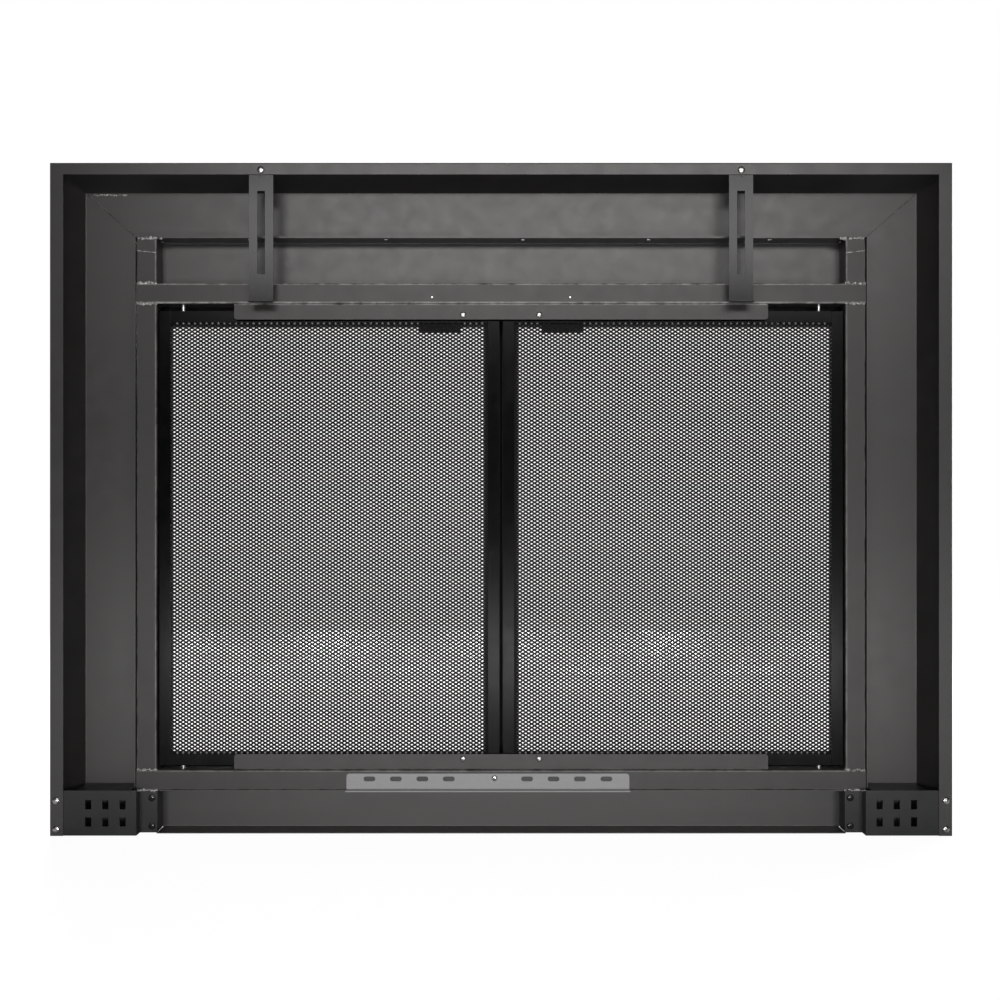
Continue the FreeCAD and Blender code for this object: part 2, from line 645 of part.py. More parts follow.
def stop_angle(word, edge, lies, stands, at_top, magnet_z):
    """An angle along the opening's edge: lies is its sheet level, stands its free edge."""
    body = new_body("stop")
    pad(body, "YZ_Plane", [
        ("tube_rear_y", edge),
        ("tube_rear_y + stop_leg", edge),
        ("tube_rear_y + stop_leg", lies),
        ("stop_front_y", lies),
        ("stop_front_y", stands),
        ("tube_rear_y", stands),
    ], "-stop_end", "stop_end")
    fold(body, "YZ_Plane", [0], "fold_radius")
    fold(body, "YZ_Plane", [3], "fold_radius - panel_sheet")
    round_ends(body, at_top, "stop_corner")
    holes = [rod("stop_hole", "Y", "screw_shank + snug", "tube_rear_y - 1", "stop_front_y + 1",
                 x=f"{side} * magnet_offset", z=magnet_z) for side in (-1, 1)]
    keep(f"stop_angle_{word}", without("stop_cut", body, holes))


stop_angle("top", "opening_top", "opening_top - panel_sheet", "opening_top - stop_height",
           False, MAGNETS[0][1])
stop_angle("bottom", "opening_bottom", "opening_bottom + panel_sheet",
           "opening_bottom + stop_height", True, MAGNETS[1][1])


def magnet(x, z):
    body = block("magnet_block", (f"{x} - magnet_wide / 2", f"{x} + magnet_wide / 2"),
                 ("stop_front_y", MAGNET_FRONT), (f"{z} - magnet_tall / 2", f"{z} + magnet_tall / 2"))
    hole = rod("magnet_hole", "Y", "screw_shank + snug", "stop_front_y - 1", "mesh_rear_y", x=x, z=z)
    return without("magnet", body, [hole])


keep("mesh_door_magnets", together("magnets", [magnet(x, z) for x, z in MAGNETS]))
keep("magnet_screws", together("magnet_screw_set", [
    small_screw("magnet_screw", x, z, ("tube_rear_y - screw_head_tall", "tube_rear_y"), MAGNET_FRONT)
    for x, z in MAGNETS]))


# ---- Catches for the glass doors --------------------------------------------------------------

def catch(side):
    """A magnet under the lintel on a leg that stands on the lintel's front."""
    middle = f"{side} * catch_offset"
    x = (f"{middle} - catch_width / 2", f"{middle} + catch_width / 2")
    magnet_part = block("catch_magnet", x, ("catch_rear_y", "catch_front_y"),
                        ("opening_top - catch_magnet_tall", "opening_top"))
    leg = block("catch_leg", x, ("panel_y", "front_y"), ("opening_top", "opening_top + catch_leg"))
    hole = rod("catch_leg_hole", "Y", "screw_shank + snug", "panel_y - 1", "front_y + 1",
               x=middle, z=CATCH_SCREW_Z)
    return without("catch", joined("catch_whole", [magnet_part, leg]), [hole])


def catch_screw(side):
    """Driven from the front, with its tip out of the lintel's rear wall."""
    x = f"{side} * catch_offset"
    head = rod("catch_screw_head", "Y", "screw_head", "front_y", "front_y + screw_head_tall",
               x=x, z=CATCH_SCREW_Z)
    shank = rod("catch_screw_shank", "Y", "screw_shank", "tube_rear_y - screw_shank", "front_y",
                x=x, z=CATCH_SCREW_Z)
    return joined("catch_screw", [head, shank])


keep("glass_door_catches", together("catches", [catch(side) for side in (-1, 1)]))
keep("catch_screws", together("catch_screw_set", [catch_screw(side) for side in (-1, 1)]))


# ---- Lintel straps ----------------------------------------------------------------------------

def strap(word, side):
    middle = f"{side} * strap_offset"
    x = (f"{middle} - strap_width / 2", f"{middle} + strap_width / 2")
    plate = block("strap_plate", x, ("plate_y", "plate_front_y"), ("strap_bottom", "strap_top"))
    foot = block("strap_foot", x, ("plate_front_y - strap_foot", "plate_front_y"),
                 ("strap_bottom", "strap_bottom + strap_sheet"))
    slot = block("strap_slot", (f"{middle} - strap_slot_width / 2", f"{middle} + strap_slot_width / 2"),
                 ("plate_y - 1", "plate_front_y + 1"), ("strap_slot_bottom", "strap_slot_top"))
    whole = joined("strap", [plate, foot])
    keep(f"lintel_strap_{word}", without("strap_cut", whole, [slot, lip_hole(middle, STRAP_SCREW_Z)]))


both_sides(strap)


def bolt(name, x, z, seat, tip):
    """A pan-head bolt along Y whose head stands behind its seat."""
    head = rod(name + "_head", "Y", "bolt_head", f"{seat} - bolt_head_tall", seat, x=x, z=z)
    shank = rod(name + "_shank", "Y", "bolt_shank", seat, tip, x=x, z=z)
    return joined(name, [head, shank])


def strap_nut(side):
    x = f"{side} * strap_offset"
    nut = rod("nut", "Y", "nut_radius", "plate_front_y", "plate_front_y + nut_tall",
              x=x, z=STRAP_SCREW_Z, sides=6)
    bore = rod("nut_bore", "Y", "bolt_shank + snug", "plate_y", "plate_front_y + 2 * nut_tall",
               x=x, z=STRAP_SCREW_Z)
    return without("strap_nut", nut, [bore])


keep("strap_nuts", together("strap_nut_set", [strap_nut(side) for side in (-1, 1)]))


# ---- Base brackets ----------------------------------------------------------------------------

def base_bracket(word, side):
    """A slotted plate behind the surround's foot, stepped forward to a tab on the lower stub."""
    tab_y = "tube_rear_y - strap_sheet"
    full_height = ("0", "bracket_height")
    plate = block("bracket_plate", mirrored(side, "bracket_inner", "bracket_outer"),
                  ("plate_y", "plate_front_y"), full_height)
    web = block("bracket_web", mirrored(side, "bracket_inner", "bracket_inner + strap_sheet"),
                ("plate_y", "tube_rear_y"), ("0", "bracket_tab_height"))
    tab = block("bracket_tab_plate",
                mirrored(side, "bracket_inner - bracket_tab", "bracket_inner + strap_sheet"),
                (tab_y, "tube_rear_y"), ("0", "bracket_tab_height"))
    flange = block("bracket_flange",
                   mirrored(side, "bracket_flange_inner", "bracket_flange_outer"),
                   ("plate_y", "panel_y"), ("bracket_height - strap_sheet", "bracket_height"))
    holes = []
    for column in (-1, 0, 1):
        middle = f"{side} * (bracket_slot_middle + {column} * bracket_slot_pitch)"
        for row in (0, 1):
            level = f"bracket_slot_low + {row} * bracket_slot_pitch"
            holes.append(block("bracket_slot",
                               (f"{middle} - bracket_slot_width / 2", f"{middle} + bracket_slot_width / 2"),
                               ("plate_y - 1", "plate_front_y + 1"),
                               (f"{level} - bracket_slot_tall / 2", f"{level} + bracket_slot_tall / 2")))
    for z in SCREW_LEVELS:
        holes.append(lip_hole(f"{side} * (half_width - lip_screw_inset)", z))
        holes.append(rod("tab_hole", "Y", "bolt_shank + snug", f"{tab_y} - 1", "tube_rear_y + 1",
                         x=f"{side} * (half_opening + tab_screw_inset)", z=z))
    whole = joined("bracket", [plate, web, tab, flange])
    keep(f"base_bracket_{word}", without("bracket_cut", whole, holes))


both_sides(base_bracket)

def lip_screw(x, z):
    return bolt("lip_screw", x, z, "wall_y", "plate_front_y + bolt_tail")


keep("lip_screws", together("lip_screw_set", [
    *[lip_screw(f"{side} * strap_offset", STRAP_SCREW_Z) for side in (-1, 1)],
    *[lip_screw(f"{side} * (half_width - lip_screw_inset)", z) for side in (-1, 1) for z in SCREW_LEVELS]]))
keep("bracket_stub_screws", together("stub_screw_set", [
    bolt("stub_screw", f"{side} * (half_opening + tab_screw_inset)", z,
         "(tube_rear_y - strap_sheet)", "tube_rear_y + 3 * tube_wall")
    for side in (-1, 1) for z in SCREW_LEVELS]))


# ---- Glass door hinge brackets ----------------------------------------------------------------

def hinge_bracket(side, door_edge, away):
    """An angle on the tube frame's front, with a pin from its lug into the door's stile.

    door_edge is the end of the door that it holds; away is 1 above the door and -1 below it.
    """
    middle = f"{side} * glass_pivot_x"
    x = (f"{middle} - hinge_width / 2", f"{middle} + hinge_width / 2")

    def level(rise):
        return f"{door_edge} + {away} * ({rise})"

    def span(low, high):
        return (level(low), level(high)) if away > 0 else (level(high), level(low))

    near = "door_clearance"
    leg = block("hinge_leg", x, ("panel_y", "panel_y + hinge_plate"),
                span(near, f"{near} + hinge_leg"))
    lug = block("hinge_lug", x, ("panel_y", "glass_front_y"), span(near, f"{near} + hinge_plate"))
    pin = rod("hinge_pin", "Z", "pin_radius", *span("-pin_reach", f"{near} + hinge_plate"),
              x=middle, y="glass_pivot_y")
    screw_level = HINGE_SCREWS[0] if away > 0 else HINGE_SCREWS[1]
    whole = joined("hinge_whole", [leg, lug, pin])
    return without("hinge_bracket", whole, [hinge_screw_hole(side, screw_level)])


def hinge_screw(side, z):
    x = f"{side} * glass_pivot_x"
    seat = "panel_y + hinge_plate"
    head = rod("hinge_screw_head", "Y", "screw_head", seat, f"{seat} + screw_head_tall", x=x, z=z)
    shank = rod("hinge_screw_shank", "Y", "screw_shank", "panel_y - 2 * tube_wall", seat, x=x, z=z)
    return joined("hinge_screw", [head, shank])


keep("glass_hinge_brackets", together("hinge_bracket_set", [
    hinge_bracket(side, edge, away) for side in (-1, 1)
    for edge, away in (("glass_top", 1), ("glass_bottom", -1))]))
keep("hinge_bracket_screws", together("hinge_screw_set", [
    hinge_screw(side, z) for side in (-1, 1) for z in HINGE_SCREWS]))


# ---- Doors ------------------------------------------------------------------------------------

class Door:
    """The named places of one kind of framed door, for its bars and its panel."""

    def __init__(self, kind, gap, bar, top_bar, panel):
        self.kind = kind
        self.rear, self.front = f"{kind}_rear_y", f"{kind}_front_y"
        self.near, self.outer = gap, f"{kind}_outer"
        self.bottom, self.top = f"{kind}_bottom", f"{kind}_top"
        self.bar, self.top_bar = bar, top_bar
        self.panel = panel

    def bars(self, word, side):
        """Two full-height stiles with two rails between them, grooved for the panel."""
        inner_x = (f"{self.near} + {self.bar}", f"{self.outer} - {self.bar}")
        inner_z = (f"{self.bottom} + {self.bar}", f"{self.top} - {self.top_bar}")
        groove_x = (f"{inner_x[0]} - rebate_depth", f"{inner_x[1]} + rebate_depth")
        groove_z = (f"{inner_z[0]} - rebate_depth", f"{inner_z[1]} + rebate_depth")
        deep = (self.rear, self.front)
        spans = {
            "hinge_stile": ((inner_x[1], self.outer), (self.bottom, self.top)),
            "meeting_stile": ((self.near, inner_x[0]), (self.bottom, self.top)),
            "top_rail": (inner_x, (inner_z[1], self.top)),
            "bottom_rail": (inner_x, (self.bottom, inner_z[0])),
        }
        groove = block("groove", mirrored(side, *groove_x), self.panel, groove_z)
        for name, (x, z) in spans.items():
            body = block(name, mirrored(side, *x), deep, z)
            holes = [groove] + self.bar_holes(name, side)
            keep(f"{self.kind}_{name}_{word}", without(name + "_cut", body, holes))
        panel_x = (f"{groove_x[0]} + rebate_room", f"{groove_x[1]} - rebate_room")
        panel_z = (f"{groove_z[0]} + rebate_room", f"{groove_z[1]} - rebate_room")
        return block("door_panel", mirrored(side, *panel_x), self.panel, panel_z)

    def bar_holes(self, name, side):
        """Bores for pins and screws in one bar."""
        holes = []
        if self.kind == "mesh" and name.endswith("rail"):
            ends = ("mesh_top - pin_reach", "mesh_top + 1")
            if name == "bottom_rail":
                ends = ("mesh_bottom - 1", "mesh_bottom + pin_reach")
            holes.append(rod("pin_bore", "Z", "pin_radius + snug", *ends,
                             x=f"{side} * mesh_pivot_x", y="mesh_pivot_y"))
        if self.kind == "glass" and name == "hinge_stile":
            for ends in (("glass_top - pin_reach - 1", "glass_top + 1"),
                         ("glass_bottom - 1", "glass_bottom + pin_reach + 1")):
                holes.append(rod("pin_bore", "Z", "pin_radius + running_fit", *ends,
                                 x=f"{side} * glass_pivot_x", y="glass_pivot_y"))
        if self.kind == "glass" and name == "meeting_stile":
            for z in HANDLE_POSTS:
                holes.append(rod("handle_hole", "Y", "screw_shank + snug", "glass_rear_y - 1",
                                 "glass_front_y + 1", x=f"{side} * {HANDLE_X}", z=z))
        return holes


HANDLE_POSTS = ("(handle_bottom + handle_post_inset)", "(handle_top - handle_post_inset)")
HANDLE_X = "(glass_gap + glass_bar / 2)"

MESH_PANEL = ("mesh_rear_y + mesh_set_back", "mesh_rear_y + mesh_set_back + mesh_sheet")
mesh_door = Door("mesh", "mesh_gap", "mesh_bar", "mesh_bar", MESH_PANEL)
GLASS_PANE = ("glass_pivot_y - glass_sheet / 2", "glass_pivot_y + glass_sheet / 2")
glass_door = Door("glass", "glass_gap", "glass_bar", "glass_top_bar", GLASS_PANE)


def mesh_door_parts(word, side):
    keep(f"mesh_panel_{word}", mesh_door.bars(word, side))
    pins = []
    for ends in (("mesh_top - pin_reach", "opening_top + pin_reach"),
                 ("opening_bottom - pin_reach", "mesh_bottom + pin_reach")):
        pins.append(rod("pivot_pin", "Z", "pin_radius", *ends,
                        x=f"{side} * mesh_pivot_x", y="mesh_pivot_y"))
    keep(f"mesh_pivot_pins_{word}", together("pivot_pins", pins))


def handle(side):
    """An upright bar on two posts, with a blind hole in each post for its screw."""
    x = f"{side} * {HANDLE_X}"
    bar_y = "glass_front_y + handle_reach - handle_radius"
    pieces = [rod("handle_bar", "Z", "handle_radius", "handle_bottom", "handle_top", x=x, y=bar_y)]
    holes = []
    for z in HANDLE_POSTS:
        pieces.append(rod("handle_post", "Y", "handle_post", "glass_front_y", bar_y, x=x, z=z))
        holes.append(rod("handle_bore", "Y", "screw_shank + snug", "glass_front_y - 1",
                         "glass_front_y + handle_reach / 3", x=x, z=z))
    return without("handle", joined("handle_whole", pieces), holes)


def handle_screw(side, z):
    return small_screw("handle_screw", f"{side} * {HANDLE_X}", z,
                       ("glass_rear_y - screw_head_tall", "glass_rear_y"),
                       "glass_front_y + handle_reach / 3")


def glass_door_parts(word, side):
    keep(f"glass_pane_{word}", glass_door.bars(word, side))
    keep(f"door_handle_{word}", handle(side))
    keep(f"handle_screws_{word}", together("handle_screw_set", [
        handle_screw(side, z) for z in HANDLE_POSTS]))
    strike = block("strike", mirrored(side, "strike_near", "strike_far"),
                   ("strike_rear_y", "glass_rear_y"), ("strike_bottom", "strike_top"))
    keep(f"strike_plate_{word}", strike)


both_sides(mesh_door_parts)
both_sides(glass_door_parts)

# The left door carries a strip that fills the gap where the two glass doors meet.
keep("meeting_seal", block("seal", ("-glass_gap", "glass_gap"),
                           ("glass_pivot_y", "glass_pivot_y + seal_sheet"),
                           ("glass_bottom + seal_inset", "glass_top - seal_inset")))


# ---- Draft slide ------------------------------------------------------------------------------

slide = new_body("slide")
pad(slide, "YZ_Plane", [
    ("draft_front_y", "draft_bottom"),
    ("draft_front_y", "draft_bottom + draft_height"),
    ("draft_rear_y", "draft_bottom + draft_height"),
    ("draft_rear_y", "draft_bottom + draft_sheet"),
    ("draft_front_y - draft_lip", "draft_bottom + draft_sheet"),
    ("draft_front_y - draft_lip", "draft_bottom"),
], "draft_middle - draft_width / 2", "draft_middle + draft_width / 2")
fold(slide, "YZ_Plane", [0], "fold_radius")
round_ends(slide, True, "draft_corner")
slide_holes = []
THROUGH_SLIDE = ("draft_rear_y - 1", "draft_front_y + 1")
for x in DRAFT_SLOTS:
    slide_holes += obround(f"draft_middle + {x}", "draft_slot_level", "draft_slot_long",
                           "draft_slot_tall", THROUGH_SLIDE)
slide_holes.append(rod("slide_screw_hole", "Y", "screw_shank + snug", *THROUGH_SLIDE,
                       x="knob_x", z="knob_level"))
keep("draft_slide_plate", without("slide_cut", slide, slide_holes))

KNOB_SEAT = "panel_y + knob_standoff"
KNOB_SCREW_TIP = "draft_front_y + knob_head_long"
stem = rod("knob_stem_rod", "Y", "knob_stem", "draft_front_y", KNOB_SEAT, x="knob_x", z="knob_level")
knob_grip = rod("knob_grip", "Y", "knob_head", KNOB_SEAT, f"{KNOB_SEAT} + knob_head_long",
                x="knob_x", z="knob_level")
knob_bore = rod("knob_bore", "Y", "screw_shank + snug", "draft_front_y - 1", KNOB_SCREW_TIP,
                x="knob_x", z="knob_level")
keep("draft_knob", without("knob", joined("knob_whole", [stem, knob_grip]), [knob_bore]))
keep("draft_knob_screw", small_screw("knob_screw", "knob_x", "knob_level",
                                     ("draft_rear_y - screw_head_tall", "draft_rear_y"),
                                     KNOB_SCREW_TIP))


# ---- Checks and export ------------------------------------------------------------------------

doc.recompute()
for thing in doc.Objects:
    if "Invalid" in thing.State or "Error" in thing.State:
        raise SystemExit(f"{thing.Name} ({thing.Label}) failed: {thing.State}")
for piece in PARTS:
    if piece.Shape.isNull() or not piece.Shape.isValid() or not piece.Shape.Solids:
        raise SystemExit(f"{piece.Label} has no valid solid")
os.makedirs("parts", exist_ok=True)
for piece in PARTS:
    piece.Shape.exportStep(f"parts/{piece.Label}.step")
    box = piece.Shape.BoundBox
    print(f"{piece.Label:26s} {len(piece.Shape.Solids)} solid(s)  "
          f"{box.XLength:7.1f} x {box.YLength:6.1f} x {box.ZLength:6.1f}")
print(len(PARTS), "nodes")
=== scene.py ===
# %% [markdown]
# # A fireplace screen with mesh doors and glass doors
#
# The real object is a folded sheet-steel surround welded to a frame of square
# tube. Two glass doors face the room, two expanded-mesh doors face the fire.
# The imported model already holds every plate, tube, hinge and screw at its true
# size, so this lesson loads it first and only ever builds on top of it.

# %% Load the frame
import json
import math
import random

import bmesh
import bpy
from mathutils import Matrix, Vector

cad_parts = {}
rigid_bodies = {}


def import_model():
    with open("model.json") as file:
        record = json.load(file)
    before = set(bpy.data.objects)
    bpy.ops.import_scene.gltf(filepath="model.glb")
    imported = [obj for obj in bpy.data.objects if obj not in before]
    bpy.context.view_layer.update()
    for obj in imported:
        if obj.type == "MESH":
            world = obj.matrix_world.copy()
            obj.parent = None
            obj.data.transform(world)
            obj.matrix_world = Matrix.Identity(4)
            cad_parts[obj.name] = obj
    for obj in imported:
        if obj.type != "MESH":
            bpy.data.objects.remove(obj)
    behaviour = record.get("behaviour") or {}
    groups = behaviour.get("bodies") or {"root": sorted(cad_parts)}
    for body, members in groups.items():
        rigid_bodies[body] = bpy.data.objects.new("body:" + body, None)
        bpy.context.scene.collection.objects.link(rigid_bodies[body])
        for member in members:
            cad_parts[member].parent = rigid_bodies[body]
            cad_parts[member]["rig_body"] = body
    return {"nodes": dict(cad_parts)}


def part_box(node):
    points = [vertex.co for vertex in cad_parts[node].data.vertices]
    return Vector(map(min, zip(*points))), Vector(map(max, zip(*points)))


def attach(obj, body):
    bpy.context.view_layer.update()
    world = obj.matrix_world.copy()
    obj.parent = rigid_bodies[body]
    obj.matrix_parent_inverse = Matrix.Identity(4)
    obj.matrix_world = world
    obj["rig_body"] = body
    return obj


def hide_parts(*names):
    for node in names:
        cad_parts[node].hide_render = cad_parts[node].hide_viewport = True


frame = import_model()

scene = bpy.context.scene
nodes = frame["nodes"]
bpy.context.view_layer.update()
MM = 0.001

# %% [markdown]
# ## Camera
#
# The screen is looked at square on from the fire side. A camera that points
# straight along +Y keeps the uprights upright. It could be tilted to centre the
# object, but that would bend the verticals, so the lens is shifted instead.

# %% Camera
wall_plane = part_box("outer_frame_left")[0].y
CAMERA_DISTANCE = 1.400
EYE_HEIGHT = 0.3753
VIEW_WIDTH = 1.2302  # metres from edge to edge of the picture, at the wall plane
SENSOR = 36.0
camera_data = bpy.data.cameras.new("Studio camera")
camera_data.sensor_width = SENSOR
camera_data.lens = SENSOR * CAMERA_DISTANCE / VIEW_WIDTH
camera_data.shift_x = -0.0011
camera_data.shift_y = 0.0309
camera_data.clip_start = 0.05
camera_data.clip_end = 60.0
camera = bpy.data.objects.new("Studio camera", camera_data)
camera.location = (0.0, wall_plane - CAMERA_DISTANCE, EYE_HEIGHT)
camera.rotation_euler = (math.radians(90), 0.0, 0.0)
scene.collection.objects.link(camera)
scene.camera = camera
print("camera at", tuple(round(c, 3) for c in camera.location))

# %% [markdown]
# ## Studio
#
# The backdrop has to be pure white behind the mesh, yet the light that reaches
# the paint should be soft and rather dim. A Light Path node splits the two
# jobs: rays that go straight from the eye, or on through the glass, see white,
# and all other rays see a dim, slightly blue grey. Plain colour management
# keeps white white.

# %% Backdrop
DIM_SKY = 0.022
scene.view_settings.view_transform = "Standard"
world = bpy.data.worlds.new("Pale studio")
scene.world = world
world.use_nodes = True
sky = world.node_tree
sky.nodes.clear()
sky_out = sky.nodes.new("ShaderNodeOutputWorld")
sky_mix = sky.nodes.new("ShaderNodeMixShader")
sky_seen = sky.nodes.new("ShaderNodeBackground")
sky_seen.inputs["Color"].default_value = (1, 1, 1, 1)
sky_light = sky.nodes.new("ShaderNodeBackground")
sky_light.inputs["Color"].default_value = (0.93, 0.96, 1.0, 1)
sky_light.inputs["Strength"].default_value = DIM_SKY
sky_path = sky.nodes.new("ShaderNodeLightPath")
sky_either = sky.nodes.new("ShaderNodeMath")
sky_either.operation = "MAXIMUM"
sky.links.new(sky_path.outputs["Is Camera Ray"], sky_either.inputs[0])
sky.links.new(sky_path.outputs["Is Transmission Ray"], sky_either.inputs[1])
sky.links.new(sky_either.outputs[0], sky_mix.inputs["Fac"])
sky.links.new(sky_light.outputs[0], sky_mix.inputs[1])
sky.links.new(sky_seen.outputs[0], sky_mix.inputs[2])
sky.links.new(sky_mix.outputs[0], sky_out.inputs["Surface"])
print("backdrop: white to the eye, strength", DIM_SKY, "to the paint")

# %% [markdown]
# ## Lamps
#
# Bare bulbs would give hard glints, so every lamp is a rectangle of light. A
# long one above and a long low one light the paint from the fire side, a weak
# one fills in from the right, and two stronger ones light the room side.

# %% Lamps
WARM = (1.0, 0.985, 0.97)


def soft_lamp(name, place, target, width, height, watts, warmth=(1, 1, 1)):
    """A rectangular softbox that points at target; the eye doesn't see it."""
    data = bpy.data.lights.new(name, "AREA")
    data.shape = "RECTANGLE"
    data.size = width
    data.size_y = height
    data.energy = watts
    data.color = warmth
    lamp = bpy.data.objects.new(name, data)
    lamp.location = place
    aim = Vector(target) - Vector(place)
    lamp.rotation_euler = aim.to_track_quat("-Z", "Y").to_euler()
    lamp.visible_camera = False
    lamp.visible_transmission = False
    scene.collection.objects.link(lamp)
    return lamp


soft_lamp("High softbox", (0.08, -1.52, 1.16), (0.0, 0.0, 0.70), 1.75, 0.32, 13.5, WARM)
soft_lamp("Low softbox", (0.03, -1.45, 0.065), (0.0, 0.0, 0.08), 1.75, 0.11, 11.5, WARM)
soft_lamp("Right fill", (0.95, -1.75, 0.60), (0.2, 0.0, 0.45), 0.5, 0.8, 0.5)
soft_lamp("Room softbox", (-0.7, 2.3, 1.7), (0.0, 0.0, 0.40), 1.8, 1.2, 110)
soft_lamp("Room fill", (1.9, 1.4, 0.8), (0.1, 0.0, 0.40), 0.8, 1.2, 30)

# %% [markdown]
# ## Floor
#
# A plain pale floor. It is diffuse, so it catches a faint shadow and throws
# light back up. Towards the eye it also glows, almost as bright as the white
# backdrop near the object and just as bright further off, so that it melts into
# the backdrop the way an overexposed studio floor does.

# %% Floor
FLOOR_BOUNCE = 0.42  # grey of the floor for the light that it throws back
FLOOR_SEEN = 0.16  # grey of the floor for the eye, under its glow
NEAR_GLOW = 0.94
FADE_FROM = 0.7
FADE_TO = 2.2


def pale_floor():
    """Diffuse for the light, and glowing nearly white for the eye."""
    material = bpy.data.materials.new("Pale floor")
    material.use_nodes = True
    tree = material.node_tree
    tree.nodes.clear()
    out = tree.nodes.new("ShaderNodeOutputMaterial")
    bounce = tree.nodes.new("ShaderNodeBsdfDiffuse")
    bounce.inputs["Color"].default_value = (FLOOR_BOUNCE, FLOOR_BOUNCE, FLOOR_BOUNCE, 1)
    shown = tree.nodes.new("ShaderNodeBsdfDiffuse")
    shown.inputs["Color"].default_value = (FLOOR_SEEN, FLOOR_SEEN, FLOOR_SEEN, 1)
    glow = tree.nodes.new("ShaderNodeEmission")
    far = tree.nodes.new("ShaderNodeVectorMath")
    far.operation = "LENGTH"
    coords = tree.nodes.new("ShaderNodeTexCoord")
    fade = tree.nodes.new("ShaderNodeMapRange")
    fade.inputs["From Min"].default_value = FADE_FROM
    fade.inputs["From Max"].default_value = FADE_TO
    fade.inputs["To Min"].default_value = NEAR_GLOW
    fade.inputs["To Max"].default_value = 1.0
    add = tree.nodes.new("ShaderNodeAddShader")
    path = tree.nodes.new("ShaderNodeLightPath")
    either = tree.nodes.new("ShaderNodeMath")
    either.operation = "MAXIMUM"
    choose = tree.nodes.new("ShaderNodeMixShader")
    tree.links.new(coords.outputs["Object"], far.inputs[0])
    tree.links.new(far.outputs["Value"], fade.inputs["Value"])
    tree.links.new(fade.outputs["Result"], glow.inputs["Strength"])
    tree.links.new(shown.outputs[0], add.inputs[0])
    tree.links.new(glow.outputs[0], add.inputs[1])
    tree.links.new(path.outputs["Is Camera Ray"], either.inputs[0])
    tree.links.new(path.outputs["Is Transmission Ray"], either.inputs[1])
    tree.links.new(either.outputs[0], choose.inputs["Fac"])
    tree.links.new(bounce.outputs[0], choose.inputs[1])
    tree.links.new(add.outputs[0], choose.inputs[2])
    tree.links.new(choose.outputs[0], out.inputs["Surface"])
    return material


floor_bm = bmesh.new()
bmesh.ops.create_grid(floor_bm, x_segments=1, y_segments=1, size=12.0)
floor_mesh = bpy.data.meshes.new("Studio floor")
floor_bm.to_mesh(floor_mesh)
floor_bm.free()
floor = bpy.data.objects.new("Studio_floor", floor_mesh)
floor.data.materials.append(pale_floor())
floor.location.z = -0.0004
scene.collection.objects.link(floor)
print("floor at", round(floor.location.z, 5))

# %% [markdown]
# ## Shared effects
#
# Powder coat, paler edges that are partly scuffed paint and partly painted highlight, dust and brushing
# turn up in more than one finish. Each is built once as a node group with named inputs and outputs, and
# placed in each material with its own values. The groups put out only masks, values and colours; the
# shader itself stays in the material.

# %% Group helpers
def new_group(name, inputs, outputs):
    """An empty shader group: inputs are (name, type, default), outputs (name, type)."""
    group = bpy.data.node_groups.new(name, "ShaderNodeTree")
    for label, kind, value in inputs:
        socket = group.interface.new_socket(label, in_out="INPUT", socket_type=kind)
        if value is not None:
            socket.default_value = value
    for label, kind in outputs:
        group.interface.new_socket(label, in_out="OUTPUT", socket_type=kind)
    start = group.nodes.new("NodeGroupInput")
    end = group.nodes.new("NodeGroupOutput")
    return group, start, end


def noise(tree, vector, scale, detail=2.0, rough=0.5, distortion=0.0):
    """A noise texture that reads vector."""
    node = tree.nodes.new("ShaderNodeTexNoise")
    node.inputs["Scale"].default_value = scale
    node.inputs["Detail"].default_value = detail
    node.inputs["Roughness"].default_value = rough
    node.inputs["Distortion"].default_value = distortion
    tree.links.new(vector, node.inputs["Vector"])
    return node


def math_node(tree, operation, first, second=None, third=None, clamp=False):
    """One sum in the node tree; each term is a number or another node's output."""
    node = tree.nodes.new("ShaderNodeMath")
    node.operation = operation
    node.use_clamp = clamp
    for index, value in enumerate((first, second, third)):
        if value is None:
            continue
        if isinstance(value, (int, float)):
            node.inputs[index].default_value = value
        else:
            tree.links.new(value, node.inputs[index])
    return node.outputs[0]


def stretch(tree, vector, scale):
    """Squeezes a pattern along the axes, by a Mapping node."""
    node = tree.nodes.new("ShaderNodeMapping")
    node.inputs["Scale"].default_value = scale
    tree.links.new(vector, node.inputs["Vector"])
    return node.outputs[0]


print("node groups before the first effect:", len(bpy.data.node_groups))

